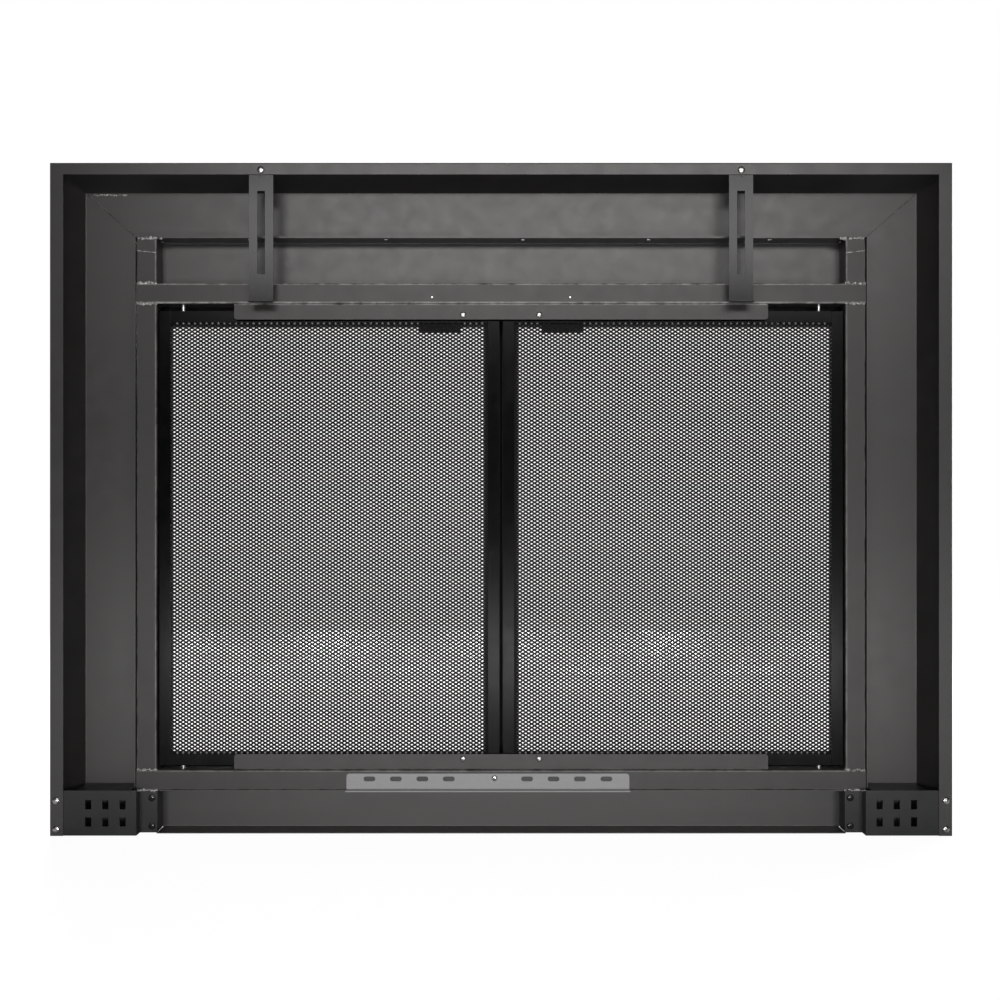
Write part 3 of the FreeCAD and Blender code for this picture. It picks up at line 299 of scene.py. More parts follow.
# %% Powder coat group
def build_powder_coat():
    """Orange-peel grain, fine speckle and slow clouding of a sprayed and baked coat."""
    group, start, end = new_group(
        "Powder coat",
        [
            ("Vector", "NodeSocketVector", None),
            ("Grain per metre", "NodeSocketFloat", 900.0),
            ("Clouding", "NodeSocketFloat", 0.12),
            ("Speckle", "NodeSocketFloat", 0.10),
            ("Roughness", "NodeSocketFloat", 0.45),
            ("Roughness spread", "NodeSocketFloat", 0.08),
        ],
        [("Shade", "NodeSocketFloat"), ("Roughness", "NodeSocketFloat"), ("Height", "NodeSocketFloat")],
    )
    vector = start.outputs["Vector"]
    peel = group.nodes.new("ShaderNodeTexNoise")
    peel.inputs["Detail"].default_value = 2.0
    group.links.new(vector, peel.inputs["Vector"])
    group.links.new(start.outputs["Grain per metre"], peel.inputs["Scale"])
    cloud = noise(group, vector, 7.0, 4.0, 0.62, 0.3)
    patch = noise(group, vector, 46.0, 3.0, 0.6)
    cloud_part = math_node(group, "SUBTRACT", cloud.outputs["Fac"], 0.5)
    cloud_part = math_node(group, "MULTIPLY", cloud_part, start.outputs["Clouding"])
    speck_part = math_node(group, "SUBTRACT", peel.outputs["Fac"], 0.5)
    speck_part = math_node(group, "MULTIPLY", speck_part, start.outputs["Speckle"])
    shade = math_node(group, "ADD", cloud_part, speck_part)
    shade = math_node(group, "ADD", math_node(group, "MULTIPLY", shade, 2.0), 1.0)
    group.links.new(shade, end.inputs["Shade"])
    spread = math_node(group, "SUBTRACT", patch.outputs["Fac"], 0.5)
    spread = math_node(group, "MULTIPLY", spread, start.outputs["Roughness spread"])
    rough = math_node(group, "MULTIPLY_ADD", spread, 2.0, start.outputs["Roughness"], clamp=True)
    group.links.new(rough, end.inputs["Roughness"])
    wave = noise(group, vector, 5.0, 1.0, 0.5)
    height = math_node(group, "MULTIPLY_ADD", wave.outputs["Fac"], 6.0, peel.outputs["Fac"])
    group.links.new(height, end.inputs["Height"])
    return group


powder_coat = build_powder_coat()
print("group:", powder_coat.name, [s.name for s in powder_coat.interface.items_tree])

# %% Edge scuff and highlight group
def build_edge_scuff_and_highlight():
    """Where a rounded edge is painted paler, as scuffed paint and as a painted highlight: the edge
    attribute, broken up by noise.
    """
    group, start, end = new_group(
        "Edge wear",
        [
            ("Vector", "NodeSocketVector", None),
            ("Amount", "NodeSocketFloat", 0.5),
            ("Patches per metre", "NodeSocketFloat", 60.0),
        ],
        [("Mask", "NodeSocketFloat")],
    )
    edge = group.nodes.new("ShaderNodeAttribute")
    edge.attribute_name = "edge"
    patch = group.nodes.new("ShaderNodeTexNoise")
    patch.inputs["Detail"].default_value = 4.0
    patch.inputs["Roughness"].default_value = 0.65
    group.links.new(start.outputs["Vector"], patch.inputs["Vector"])
    group.links.new(start.outputs["Patches per metre"], patch.inputs["Scale"])
    broken = group.nodes.new("ShaderNodeMapRange")
    broken.inputs["From Min"].default_value = 0.30
    broken.inputs["From Max"].default_value = 0.62
    group.links.new(patch.outputs["Fac"], broken.inputs["Value"])
    mask = math_node(group, "MULTIPLY", edge.outputs["Fac"], broken.outputs["Result"])
    mask = math_node(group, "MULTIPLY", mask, start.outputs["Amount"], clamp=True)
    group.links.new(mask, end.inputs["Mask"])
    return group


edge_scuff_and_highlight = build_edge_scuff_and_highlight()
print("group:", edge_scuff_and_highlight.name)

# %% Dust group
def build_dust():
    """Fine pale dust that settles on faces turned up, in uneven patches."""
    group, start, end = new_group(
        "Settled dust",
        [("Vector", "NodeSocketVector", None), ("Amount", "NodeSocketFloat", 0.2)],
        [("Mask", "NodeSocketFloat")],
    )
    facing = group.nodes.new("ShaderNodeNewGeometry")
    split = group.nodes.new("ShaderNodeSeparateXYZ")
    group.links.new(facing.outputs["Normal"], split.inputs[0])
    upward = math_node(group, "MULTIPLY_ADD", split.outputs["Z"], 0.75, 0.16, clamp=True)
    patch = noise(group, start.outputs["Vector"], 24.0, 5.0, 0.7)
    fine = noise(group, start.outputs["Vector"], 520.0, 2.0, 0.6)
    spots = math_node(group, "MULTIPLY", patch.outputs["Fac"], fine.outputs["Fac"])
    spots = math_node(group, "MULTIPLY_ADD", spots, 3.2, -0.42, clamp=True)
    mask = math_node(group, "MULTIPLY", upward, spots)
    mask = math_node(group, "MULTIPLY", mask, start.outputs["Amount"], clamp=True)
    group.links.new(mask, end.inputs["Mask"])
    return group


settled_dust = build_dust()
print("group:", settled_dust.name)

# %% Brushed metal group
def build_brushed():
    """Long fine scratches of rolled or brushed steel, with scattered scuffs."""
    group, start, end = new_group(
        "Brushed metal",
        [
            ("Vector", "NodeSocketVector", None),
            ("Roughness", "NodeSocketFloat", 0.35),
            ("Contrast", "NodeSocketFloat", 0.2),
        ],
        [("Shade", "NodeSocketFloat"), ("Roughness", "NodeSocketFloat"), ("Height", "NodeSocketFloat")],
    )
    drawn = stretch(group, start.outputs["Vector"], (60.0, 900.0, 1400.0))
    lines = noise(group, drawn, 1.0, 3.0, 0.7)
    scuff = noise(group, start.outputs["Vector"], 90.0, 4.0, 0.65, 0.6)
    part = math_node(group, "ADD", lines.outputs["Fac"], scuff.outputs["Fac"])
    part = math_node(group, "SUBTRACT", part, 1.0)
    shade = math_node(group, "MULTIPLY_ADD", part, start.outputs["Contrast"], 1.0)
    rough = math_node(group, "MULTIPLY_ADD", part, 0.22, start.outputs["Roughness"], clamp=True)
    group.links.new(shade, end.inputs["Shade"])
    group.links.new(rough, end.inputs["Roughness"])
    group.links.new(lines.outputs["Fac"], end.inputs["Height"])
    return group


brushed_metal = build_brushed()
print("group:", brushed_metal.name)

# %% [markdown]
# ## Finishes
#
# Every finish is a Principled shader fed by the shared groups: a base colour whose shade drifts, a
# roughness that varies, a bump for the grain, paler edges that are partly scuffed paint and partly painted
# highlight, and dust. A texture image could hold all that, but nodes stay sharp at any distance and can be
# tuned one by one. One builder serves all painted parts, another the metals.

# %% Painted finish
PEEL_HEIGHT = 0.00012
DUST_ON_PAINT = (0.30, 0.28, 0.25)


def place(tree, group, values, vector):
    """Puts a shared group into a material, with its own values."""
    node = tree.nodes.new("ShaderNodeGroup")
    node.node_tree = group
    for label, value in values.items():
        node.inputs[label].default_value = value
    tree.links.new(vector, node.inputs["Vector"])
    return node


def mix_colour(tree, factor, first, second, blend="MIX"):
    """Blends two colours; each is a plain colour or another node's output."""
    node = tree.nodes.new("ShaderNodeMix")
    node.data_type = "RGBA"
    node.blend_type = blend
    terms = ((node.inputs[0], factor), (node.inputs[6], first), (node.inputs[7], second))
    for socket, value in terms:
        if isinstance(value, tuple):
            socket.default_value = (*value, 1.0)
        elif isinstance(value, (int, float)):
            socket.default_value = value
        else:
            tree.links.new(value, socket)
    return node.outputs[2]


def shaded(tree, colour, shade):
    """A colour multiplied by a shade that varies around one."""
    grey = tree.nodes.new("ShaderNodeCombineColor")
    for label in ("Red", "Green", "Blue"):
        tree.links.new(shade, grey.inputs[label])
    return mix_colour(tree, 1.0, colour, grey.outputs[0], "MULTIPLY")


def bump_of(tree, height, strength, distance):
    """The normal that a height pattern gives, distance metres deep."""
    node = tree.nodes.new("ShaderNodeBump")
    node.inputs["Strength"].default_value = strength
    node.inputs["Distance"].default_value = distance
    tree.links.new(height, node.inputs["Height"])
    return node.outputs["Normal"]


def painted(name, colour, rough, spread=0.08, cloud=0.10, speckle=0.10, grain=900.0, bump=0.35,
            wear=0.4, scuff_and_highlight_colour=(0.20, 0.19, 0.18), patches=60.0, dust=0.12, sheen_level=0.5):
    """A sprayed and baked paint, with a pale colour painted along the edges that is partly scuffed paint
    and partly a painted highlight.
    """
    material = bpy.data.materials.new(name)
    material.use_nodes = True
    tree = material.node_tree
    shader = tree.nodes["Principled BSDF"]
    shader.inputs["Specular IOR Level"].default_value = sheen_level
    vector = tree.nodes.new("ShaderNodeTexCoord").outputs["Object"]
    coat = place(tree, powder_coat, {
        "Grain per metre": grain, "Clouding": cloud, "Speckle": speckle,
        "Roughness": rough, "Roughness spread": spread}, vector)
    scuff_and_highlight = place(tree, edge_scuff_and_highlight, {"Amount": wear, "Patches per metre": patches}, vector)
    dusty = place(tree, settled_dust, {"Amount": dust}, vector)
    colour_now = shaded(tree, colour, coat.outputs["Shade"])
    # The pale edge colour: partly scuffed paint, partly a painted highlight.
    colour_now = mix_colour(tree, scuff_and_highlight.outputs["Mask"], colour_now, scuff_and_highlight_colour)
    colour_now = mix_colour(tree, dusty.outputs["Mask"], colour_now, DUST_ON_PAINT)
    tree.links.new(colour_now, shader.inputs["Base Color"])
    rough_now = math_node(tree, "MULTIPLY_ADD", dusty.outputs["Mask"], 0.5,
                          coat.outputs["Roughness"], clamp=True)
    rough_now = math_node(tree, "MULTIPLY_ADD", scuff_and_highlight.outputs["Mask"], -0.10, rough_now, clamp=True)
    tree.links.new(rough_now, shader.inputs["Roughness"])
    tree.links.new(bump_of(tree, coat.outputs["Height"], bump, PEEL_HEIGHT), shader.inputs["Normal"])
    return material


finish = {}
# Each paint's pale edge colour below is partly scuffed paint and partly a painted highlight along the
# rounded edges and folds.
finish["surround_paint"] = painted(
    "Surround paint", (0.0070, 0.0065, 0.0062), 0.42, cloud=0.16,
    wear=0.75, scuff_and_highlight_colour=(0.060, 0.057, 0.055), sheen_level=0.95)
finish["tube_paint"] = painted(
    "Tube paint", (0.0080, 0.0075, 0.0072), 0.46, cloud=0.20, speckle=0.18,
    wear=0.85, scuff_and_highlight_colour=(0.13, 0.125, 0.12), sheen_level=0.75)
# The stop paint is the tube paint with a much brighter edge colour: a painted highlight standing in for
# the light caught by the rounded folds of the stop angle and the lintel tube.
finish["stop_paint"] = painted(
    "Stop angle paint", (0.0080, 0.0075, 0.0072), 0.46, cloud=0.18,
    wear=1.0, scuff_and_highlight_colour=(0.34, 0.33, 0.32), sheen_level=0.75)
print("frame paints:", sorted(finish))

# %% More paints
# The pale spots on the welds are partly chipped paint and partly painted glints.
finish["weld_paint"] = painted(
    "Paint over weld", (0.0060, 0.0057, 0.0055), 0.22, cloud=0.3, speckle=0.55, grain=420.0, bump=1.0,
    wear=0.75, scuff_and_highlight_colour=(0.50, 0.49, 0.48), patches=280.0, sheen_level=1.0)
finish["bracket_paint"] = painted(
    "Bracket paint", (0.0085, 0.0100, 0.0110), 0.36, cloud=0.14,
    wear=0.6, scuff_and_highlight_colour=(0.12, 0.13, 0.14), dust=0.06, sheen_level=0.55)
finish["strap_paint"] = painted(
    "Strap paint", (0.0050, 0.0056, 0.0062), 0.18, spread=0.02, cloud=0.08, speckle=0.05, bump=0.06,
    wear=0.5, scuff_and_highlight_colour=(0.12, 0.13, 0.14), dust=0.03, sheen_level=0.24)
finish["mesh_door_paint"] = painted(
    "Mesh door paint", (0.0012, 0.0014, 0.0017), 0.24,
    wear=0.35, scuff_and_highlight_colour=(0.02, 0.02, 0.022), dust=0.02, sheen_level=0.12)
finish["glass_door_paint"] = painted(
    "Glass door paint", (0.0060, 0.0058, 0.0056), 0.40,
    wear=0.3, scuff_and_highlight_colour=(0.07, 0.07, 0.07), dust=0.05)
finish["door_seal"] = painted(
    "Seal strip", (0.004, 0.004, 0.004), 0.85, grain=1800.0, wear=0.0, dust=0.0)
finish["magnet_black"] = painted(
    "Magnet housing", (0.018, 0.018, 0.019), 0.55, grain=1500.0, wear=0.2, dust=0.1)
print("painted finishes:", sorted(finish))

# %% Metal finishes
SCRATCH_DEPTH = 0.00004
DUST_ON_METAL = (0.32, 0.30, 0.27)
METAL_PATCHES = 160.0


def bare(name, colour, rough, metallic=1.0, contrast=0.25, bump=0.25, wear=0.3,
         scuff_and_highlight_colour=(0.80, 0.80, 0.80), dust=0.10, coat_weight=0.0):
    """Metal with drawn scratches, bare, plated or blackened."""
    material = bpy.data.materials.new(name)
    material.use_nodes = True
    tree = material.node_tree
    shader = tree.nodes["Principled BSDF"]
    shader.inputs["Metallic"].default_value = metallic
    shader.inputs["Coat Weight"].default_value = coat_weight
    vector = tree.nodes.new("ShaderNodeTexCoord").outputs["Object"]
    lines = place(tree, brushed_metal, {"Roughness": rough, "Contrast": contrast}, vector)
    scuff_and_highlight = place(tree, edge_scuff_and_highlight, {"Amount": wear, "Patches per metre": METAL_PATCHES}, vector)
    dusty = place(tree, settled_dust, {"Amount": dust}, vector)
    colour_now = shaded(tree, colour, lines.outputs["Shade"])
    # The pale edge colour: partly scuffed metal, partly a painted highlight.
    colour_now = mix_colour(tree, scuff_and_highlight.outputs["Mask"], colour_now, scuff_and_highlight_colour)
    colour_now = mix_colour(tree, dusty.outputs["Mask"], colour_now, DUST_ON_METAL)
    tree.links.new(colour_now, shader.inputs["Base Color"])
    rough_now = math_node(tree, "MULTIPLY_ADD", dusty.outputs["Mask"], 0.5,
                          lines.outputs["Roughness"], clamp=True)
    tree.links.new(rough_now, shader.inputs["Roughness"])
    tree.links.new(bump_of(tree, lines.outputs["Height"], bump, SCRATCH_DEPTH), shader.inputs["Normal"])
    return material


# Where a metal part has rounded edges, its pale edge colour is partly scuffs and partly a painted
# highlight.
finish["slide_steel"] = bare(
    "Draft slide steel", (0.300, 0.302, 0.310), 0.46, metallic=0.0, contrast=0.22,
    wear=0.7, scuff_and_highlight_colour=(0.46, 0.46, 0.47))
finish["zinc_screw"] = bare("Zinc plate", (0.60, 0.60, 0.59), 0.27, contrast=0.55)
finish["black_screw"] = bare(
    "Black oxide", (0.012, 0.012, 0.013), 0.16, metallic=0.0, contrast=0.3,
    wear=0.6, scuff_and_highlight_colour=(0.25, 0.25, 0.25), coat_weight=0.4)
finish["handle_metal"] = bare(
    "Handle metal", (0.085, 0.080, 0.074), 0.30, contrast=0.3,
    wear=0.6, scuff_and_highlight_colour=(0.32, 0.30, 0.27), coat_weight=0.2)
finish["mesh_steel"] = painted(
    "Mesh steel", (0.0030, 0.0032, 0.0035), 0.44, cloud=0.25, grain=1400.0,
    wear=0.0, dust=0.04, sheen_level=0.10)
print("finishes so far:", len(finish))

# %% [markdown]
# ## Glass
#
# The panes are clear tempered glass. Thin glass could be faked with alpha, but a
# real transmitting shader gives the green edge and the clean reflection. What
# makes it look used is a faint film whose roughness drifts.

# %% Door glass
def door_glass():
    """Clear glass with a faint film that makes its roughness drift."""
    material = bpy.data.materials.new("Door glass")
    material.use_nodes = True
    tree = material.node_tree
    shader = tree.nodes["Principled BSDF"]
    shader.inputs["Transmission Weight"].default_value = 1.0
    shader.inputs["IOR"].default_value = 1.46
    vector = tree.nodes.new("ShaderNodeTexCoord").outputs["Object"]
    film = noise(tree, vector, 9.0, 5.0, 0.6, 0.8)
    streak = noise(tree, stretch(tree, vector, (40.0, 40.0, 5.0)), 1.0, 3.0, 0.6)
    both = math_node(tree, "MULTIPLY", film.outputs["Fac"], streak.outputs["Fac"])
    rough = math_node(tree, "MULTIPLY_ADD", both, 0.06, -0.006, clamp=True)
    tree.links.new(rough, shader.inputs["Roughness"])
    tint = mix_colour(tree, both, (0.985, 0.992, 0.988), (0.955, 0.968, 0.962))
    tree.links.new(tint, shader.inputs["Base Color"])
    ripple = noise(tree, vector, 14.0, 1.0, 0.5)
    tree.links.new(bump_of(tree, ripple.outputs["Fac"], 0.05, 0.0002), shader.inputs["Normal"])
    return material


finish["door_glass"] = door_glass()
for node in nodes.values():
    for slot in node.material_slots:
        name = slot.material.name.split(".")[0] if slot.material else ""
        if name in finish:
            slot.material = finish[name]
print("finishes placed on", len(nodes), "parts")

# %% [markdown]
# ## Rounding the parts
#
# The plates and bars arrive with knife edges, and no real edge is that sharp: a bright thread of light
# along each one is what makes it read as metal. A Bevel modifier could do this, but the bevel operator
# also hands back the faces it made, and those are marked, so a pale colour is painted exactly there:
# partly scuffed paint, partly a painted highlight along the edge.

# %% Softening helpers
SAME_SPOT = 2e-6
FLAT_WITHIN = math.radians(0.6)
mitred = ["outer_frame_left", "outer_frame_right", "outer_frame_top"]


def merged(name):
    """A part's mesh with its loose triangles merged."""
    bm = bmesh.new()
    bm.from_mesh(nodes[name].data)
    bmesh.ops.remove_doubles(bm, verts=bm.verts, dist=SAME_SPOT)
    return bm


def clean_copy(name):
    """A part's merged mesh with its flat faces joined up."""
    bm = merged(name)
    bmesh.ops.dissolve_limit(bm, angle_limit=FLAT_WITHIN, verts=bm.verts, edges=bm.edges)
    return bm


def finish_key(name):
    """The slot name of the finish that a part carries."""
    carried = nodes[name].material_slots[0].material
    return next(key for key, material in finish.items() if material is carried)


def add_piece(name, bm, body, slot, angle=40.0, weighted=True):
    """Makes the object, shades it, gives it its finish and its body."""
    bmesh.ops.recalc_face_normals(bm, faces=bm.faces)
    mesh = bpy.data.meshes.new(name)
    bm.to_mesh(mesh)
    bm.free()
    mesh.shade_smooth()
    mesh.set_sharp_from_angle(angle=math.radians(angle))
    piece = bpy.data.objects.new(name, mesh)
    scene.collection.objects.link(piece)
    mesh.materials.clear()
    mesh.materials.append(finish[slot])
    if weighted:
        even = piece.modifiers.new("Even shading", "WEIGHTED_NORMAL")
        even.keep_sharp = True
        even.weight = 60
    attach(piece, body)
    return piece


def on_slope(edge):
    """Whether an edge runs aslant across the front, as the cut ends of a mitre do."""
    run = edge.verts[0].co - edge.verts[1].co
    return run.length > 3 * MM and min(abs(run.x), abs(run.z)) > 0.25 * run.length


def sharp_edges(bm, least):
    """The closed edges that turn by more than least degrees."""
    return [e for e in bm.edges if e.is_manifold and e.calc_face_angle(0.0) > math.radians(least)]


print("mitred parts:", mitred)

# %% Softened parts
GROOVE = 0.6 * MM  # how far each edge of a mitre is cut back, to open a groove
NARROW = 0.9 * MM  # a long face narrower than this, such as a fold strip, gets the pale edge colour


def softened(node, width=0.4, segments=2, least=32.0, coat=None):
    """Stands in for a part, with every edge sharper than least rounded to width mm."""
    bm = clean_copy(node)
    scuff_and_highlight = bm.faces.layers.float.new("edge")
    # Long narrow faces, the folds of the sheets, get the pale edge colour as a painted highlight along
    # each fold.
    for face in bm.faces:
        longest = max(e.calc_length() for e in face.edges)
        if longest > 4 * MM and face.calc_area() / longest < NARROW:
            face[scuff_and_highlight] = 0.8
    if node in mitred:
        slopes = [e for e in sharp_edges(bm, least) if on_slope(e)]
        bmesh.ops.bevel(bm, geom=slopes, offset=GROOVE, offset_type="OFFSET", segments=1,
                        profile=0.5, affect="EDGES", clamp_overlap=True, material=-1)
    hard = [e for e in sharp_edges(bm, least) if not (node in mitred and on_slope(e))]
    made = bmesh.ops.bevel(bm, geom=hard, offset=width * MM, offset_type="OFFSET", segments=segments,
                           profile=0.5, affect="EDGES", clamp_overlap=True, material=-1, loop_slide=True)
    # The new bevel faces get the pale edge colour: partly scuffed paint, partly a painted highlight.
    for face in made["faces"]:
        face[scuff_and_highlight] = 1.0
    piece = add_piece(node + "_edges", bm, nodes[node]["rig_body"], finish_key(node), angle=60.0)
    if coat:
        piece.data.materials[0] = finish[coat]
    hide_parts(node)
    return piece


# %% Soften the frame
tubes = ["post_tube_left", "post_tube_right", "upper_stub_left", "upper_stub_right",
         "lower_stub_left", "lower_stub_right", "lintel_tube", "sill_tube"]
# The lintel tube takes the stop paint, whose bright edge colour paints a highlight along its rounded
# corners.
for name in tubes:
    softened(name, 0.35, coat="stop_paint" if name == "lintel_tube" else None)
sheets = ["outer_frame_left", "outer_frame_right", "outer_frame_top", "header_panel", "riser_panel"]
for name in sheets:
    softened(name, 0.30)
# The top stop angle's fold gets the same painted highlight; the bottom one keeps the plainer tube paint.
softened("stop_angle_top", 0.28, coat="stop_paint")
softened("stop_angle_bottom", 0.28, coat="tube_paint")
straps = ["lintel_strap_left", "lintel_strap_right"]
for name in straps:
    softened(name, 0.28, coat="strap_paint")
plates = ["base_bracket_left", "base_bracket_right", "draft_slide_plate", "glass_hinge_brackets",
          "mesh_door_magnets", "glass_door_catches"]
for name in plates:
    softened(name, 0.28)
print("softened:", len(tubes) + len(sheets) + 2 + len(straps) + len(plates), "frame parts")

# %% Soften the doors
sides = ("left", "right")
bars = 0
for side in sides:
    for bar in ("hinge_stile", "meeting_stile", "top_rail", "bottom_rail"):
        softened("mesh_%s_%s" % (bar, side), 0.45)
        softened("glass_%s_%s" % (bar, side), 0.9, segments=3)
        bars += 2
    softened("door_handle_%s" % side, 1.6, segments=4, least=40.0)
    softened("glass_pane_%s" % side, 0.5)
    softened("strike_plate_%s" % side, 0.15)
    softened("mesh_pivot_pins_%s" % side, 0.4)
softened("draft_knob", 0.5, segments=3, least=40.0)
softened("meeting_seal", 0.4)
print("softened:", bars, "door bars")

# %% [markdown]
# ## Expanded mesh
#
# Expanded metal is one sheet, slit and pulled until the slits open into
# diamonds, so nothing is woven and every strand leans a little. It could be an
# Array of one cell, but an operator gives it directly: a grid turned by 45
# degrees and squashed is already a field of diamonds. Each is inset, the inner
# corners are pushed fore and aft for the lean, the middle is deleted, and the
# sheet is given its thickness. That makes twelve faces for each hole.

# %% Expanded mesh
CELL_WIDE = 7.35 * MM
CELL_HIGH = 4.75 * MM
OPEN_SHARE = 0.24  # share of each diamond that is hole
STRAND_LEAN = 0.22 * MM
STRAND_THICK = 0.55 * MM


def triangles(piece):
    """How many triangles a piece's mesh comes to."""
    return sum(len(p.vertices) - 2 for p in piece.data.polygons)


def diamond_field(width, height):
    """Diamonds that cover width by height, centred on the origin, in the XZ plane."""
    reach = width / CELL_WIDE + height / CELL_HIGH
    count = 2 * math.ceil(reach / 2 + 2)
    bm = bmesh.new()
    bmesh.ops.create_grid(bm, x_segments=count, y_segments=count, size=count / 2 * math.sqrt(0.5))
    bmesh.ops.rotate(bm, verts=bm.verts, matrix=Matrix.Rotation(math.radians(45), 3, "Z"))
    bmesh.ops.scale(bm, verts=bm.verts, vec=(CELL_WIDE, CELL_HIGH, 1.0))
    bmesh.ops.rotate(bm, verts=bm.verts, matrix=Matrix.Rotation(math.radians(90), 3, "X"))
    return bm


def mesh_sheet(name, node, low, high):
    """One sheet of expanded metal between two corners (X and Z), on the mid plane of node."""
    front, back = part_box(node)
    middle = (front.y + back.y) / 2
    centre = (front + back) / 2
    bm = diamond_field(back.x - front.x, back.z - front.z)
    bmesh.ops.translate(bm, verts=bm.verts, vec=(centre.x, middle, centre.z))
    outside = []
    for face in bm.faces:
        spot = face.calc_center_median()
        if not (low[0] <= spot.x < high[0] and low[1] <= spot.z < high[1]):
            outside.append(face)
    bmesh.ops.delete(bm, geom=outside, context="FACES")
    holes = list(bm.faces)
    half_w, half_h = CELL_WIDE / 2, CELL_HIGH / 2
    inradius = half_w * half_h / math.hypot(half_w, half_h)
    strand = inradius * (1 - math.sqrt(OPEN_SHARE))
    bmesh.ops.inset_individual(bm, faces=holes, thickness=strand, depth=0.0, use_even_offset=True)
    for face in holes:
        spot = face.calc_center_median()
        for corner in face.verts:
            rise = corner.co.z - spot.z
            if abs(rise) > 1e-4:
                corner.co.y += math.copysign(STRAND_LEAN, rise)
    bmesh.ops.delete(bm, geom=holes, context="FACES")
    bmesh.ops.translate(bm, verts=bm.verts, vec=(0, -STRAND_THICK / 2, 0))
    bmesh.ops.recalc_face_normals(bm, faces=bm.faces)
    bmesh.ops.solidify(bm, geom=bm.faces, thickness=STRAND_THICK)
    box_y = [v.co.y for v in bm.verts]
    shift = middle - (min(box_y) + max(box_y)) / 2
    bmesh.ops.translate(bm, verts=bm.verts, vec=(0, shift, 0))
    body = nodes[node]["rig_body"]
    piece = add_piece(name, bm, body, "mesh_steel", angle=35.0, weighted=False)
    print(name, "holes", len(holes), "triangles", triangles(piece))
    return piece


SIDE_INSET = 3.9 * MM
END_INSET = 2.5 * MM
for side in sides:
    node = "mesh_panel_" + side
    front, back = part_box(node)
    waist = (front.z + back.z) / 2 + 0.0001
    left_x = front.x + SIDE_INSET
    right_x = back.x - SIDE_INSET
    upper = mesh_sheet("mesh_upper_" + side, node, (left_x, waist), (right_x, back.z - END_INSET))
    lower = mesh_sheet("mesh_lower_" + side, node, (left_x, front.z + END_INSET), (right_x, waist))
    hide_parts(node)
    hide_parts(node)

# %% [markdown]
# ## Screws
#
# The screws are pan heads with a cross recess. A bump could fake the recess, but
# a real cut keeps its shadow from every side. The head is a profile spun about
# its own axis, and the recess is cut by two tapered bars with a Boolean. One
# screw is made for each size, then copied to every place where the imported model
# has one, found by splitting its node into islands. The islands are sorted by
# their lowest corner, so that each screw gets the same turn in every run.

# %% Find the screws
def lowest(points):
    """The lowest corner of a lump, to the millimetre, X first and Y last."""
    return tuple(round(min(p[i] for p in points), 3) for i in (0, 2, 1))


def islands(node):
    """The separate solids inside a node, as lists of points."""
    bm = merged(node)
    left = set(bm.verts)
    found = []
    while left:
        first = left.pop()
        stack, group = [first], [first.co.copy()]
        while stack:
            for edge in stack.pop().link_edges:
                for vert in edge.verts:
                    if vert in left:
                        left.remove(vert)
                        stack.append(vert)
                        group.append(vert.co.copy())
        found.append(group)
    bm.free()
    return sorted(found, key=lowest)


print("screws in the lips:", len(islands("lip_screws")))

# %% Screw maker
def temporary(bm, name):
    """A throwaway object, for modifiers to work on."""
    mesh = bpy.data.meshes.new(name)
    bm.to_mesh(mesh)
    bm.free()
    item = bpy.data.objects.new(name, mesh)
    scene.collection.objects.link(item)
    return item


def baked(item):
    """The mesh with its modifiers applied, as a new bmesh; the object is removed."""
    graph = bpy.context.evaluated_depsgraph_get()
    mesh = bpy.data.meshes.new_from_object(item.evaluated_get(graph))
    bm = bmesh.new()
    bm.from_mesh(mesh)
    bpy.data.meshes.remove(mesh)
    bpy.data.objects.remove(item)
    return bm


def spun(profile, steps):
    """A closed solid of revolution about Z from (radius, height) points, ends on the axis."""
    bm = bmesh.new()
    ring = [bm.verts.new((r, 0.0, h)) for r, h in profile]
    edges = [bm.edges.new(pair) for pair in zip(ring, ring[1:])]
    bmesh.ops.spin(bm, geom=ring + edges, cent=(0, 0, 0), axis=(0, 0, 1), angle=2 * math.pi,
                   steps=steps, use_merge=True)
    bmesh.ops.remove_doubles(bm, verts=bm.verts, dist=1e-6)
    bmesh.ops.recalc_face_normals(bm, faces=bm.faces)
    return bm


def cross_bar(radius, top, deep, turn):
    """A bar that narrows downwards, for cutting one arm of the recess."""
    bm = bmesh.new()
    bmesh.ops.create_cube(bm, size=1.0)
    bmesh.ops.scale(bm, verts=bm.verts, vec=(radius * 1.15, radius * 0.26, deep * 2))
    for vert in bm.verts:
        if vert.co.z < 0:
            vert.co.x *= 0.42
            vert.co.y *= 0.70
    bmesh.ops.rotate(bm, verts=bm.verts, matrix=Matrix.Rotation(turn, 3, "Z"))
    bmesh.ops.translate(bm, verts=bm.verts, vec=(0, 0, top))
    return temporary(bm, "recess bar")


def pan_screw(head_r, head_h, shank_r, length):
    """A pan-head screw: the head stands up from z = 0, the shank goes down."""
    tip = min(shank_r * 0.35, length * 0.2)
    profile = [(0, head_h), (head_r * 0.45, head_h * 0.985), (head_r * 0.74, head_h * 0.86),
               (head_r * 0.93, head_h * 0.58), (head_r, head_h * 0.24), (head_r * 0.985, 0.0),
               (shank_r, 0.0), (shank_r, -length + tip), (shank_r - tip, -length), (0, -length)]
    screw = temporary(spun(profile, 32), "screw blank")
    cutters = [cross_bar(head_r, head_h, head_h * 0.55, turn) for turn in (0.0, math.pi / 2)]
    for cutter in cutters:
        cut = screw.modifiers.new("Recess", "BOOLEAN")
        cut.operation = "DIFFERENCE"
        cut.solver = "EXACT"
        cut.object = cutter
    bm = baked(screw)
    for cutter in cutters:
        bpy.data.objects.remove(cutter)
    mesh = bpy.data.meshes.new("screw pattern")
    bm.to_mesh(mesh)
    bm.free()
    return mesh


print("screw maker ready, meshes:", len(bpy.data.meshes))

# %% Place the screws
SLICE = 4e-4  # how near to an end a point has to lie to belong to it
patterns = {}
turning = random.Random(7)


def from_axis(point, centre):
    """How far a point lies from a screw's axis."""
    return math.hypot(point.x - centre.x, point.z - centre.z)


def reach_at(points, centre, y):
    """A screw's radius near one height along its axis."""
    return max(from_axis(p, centre) for p in points if abs(p.y - y) < SLICE)


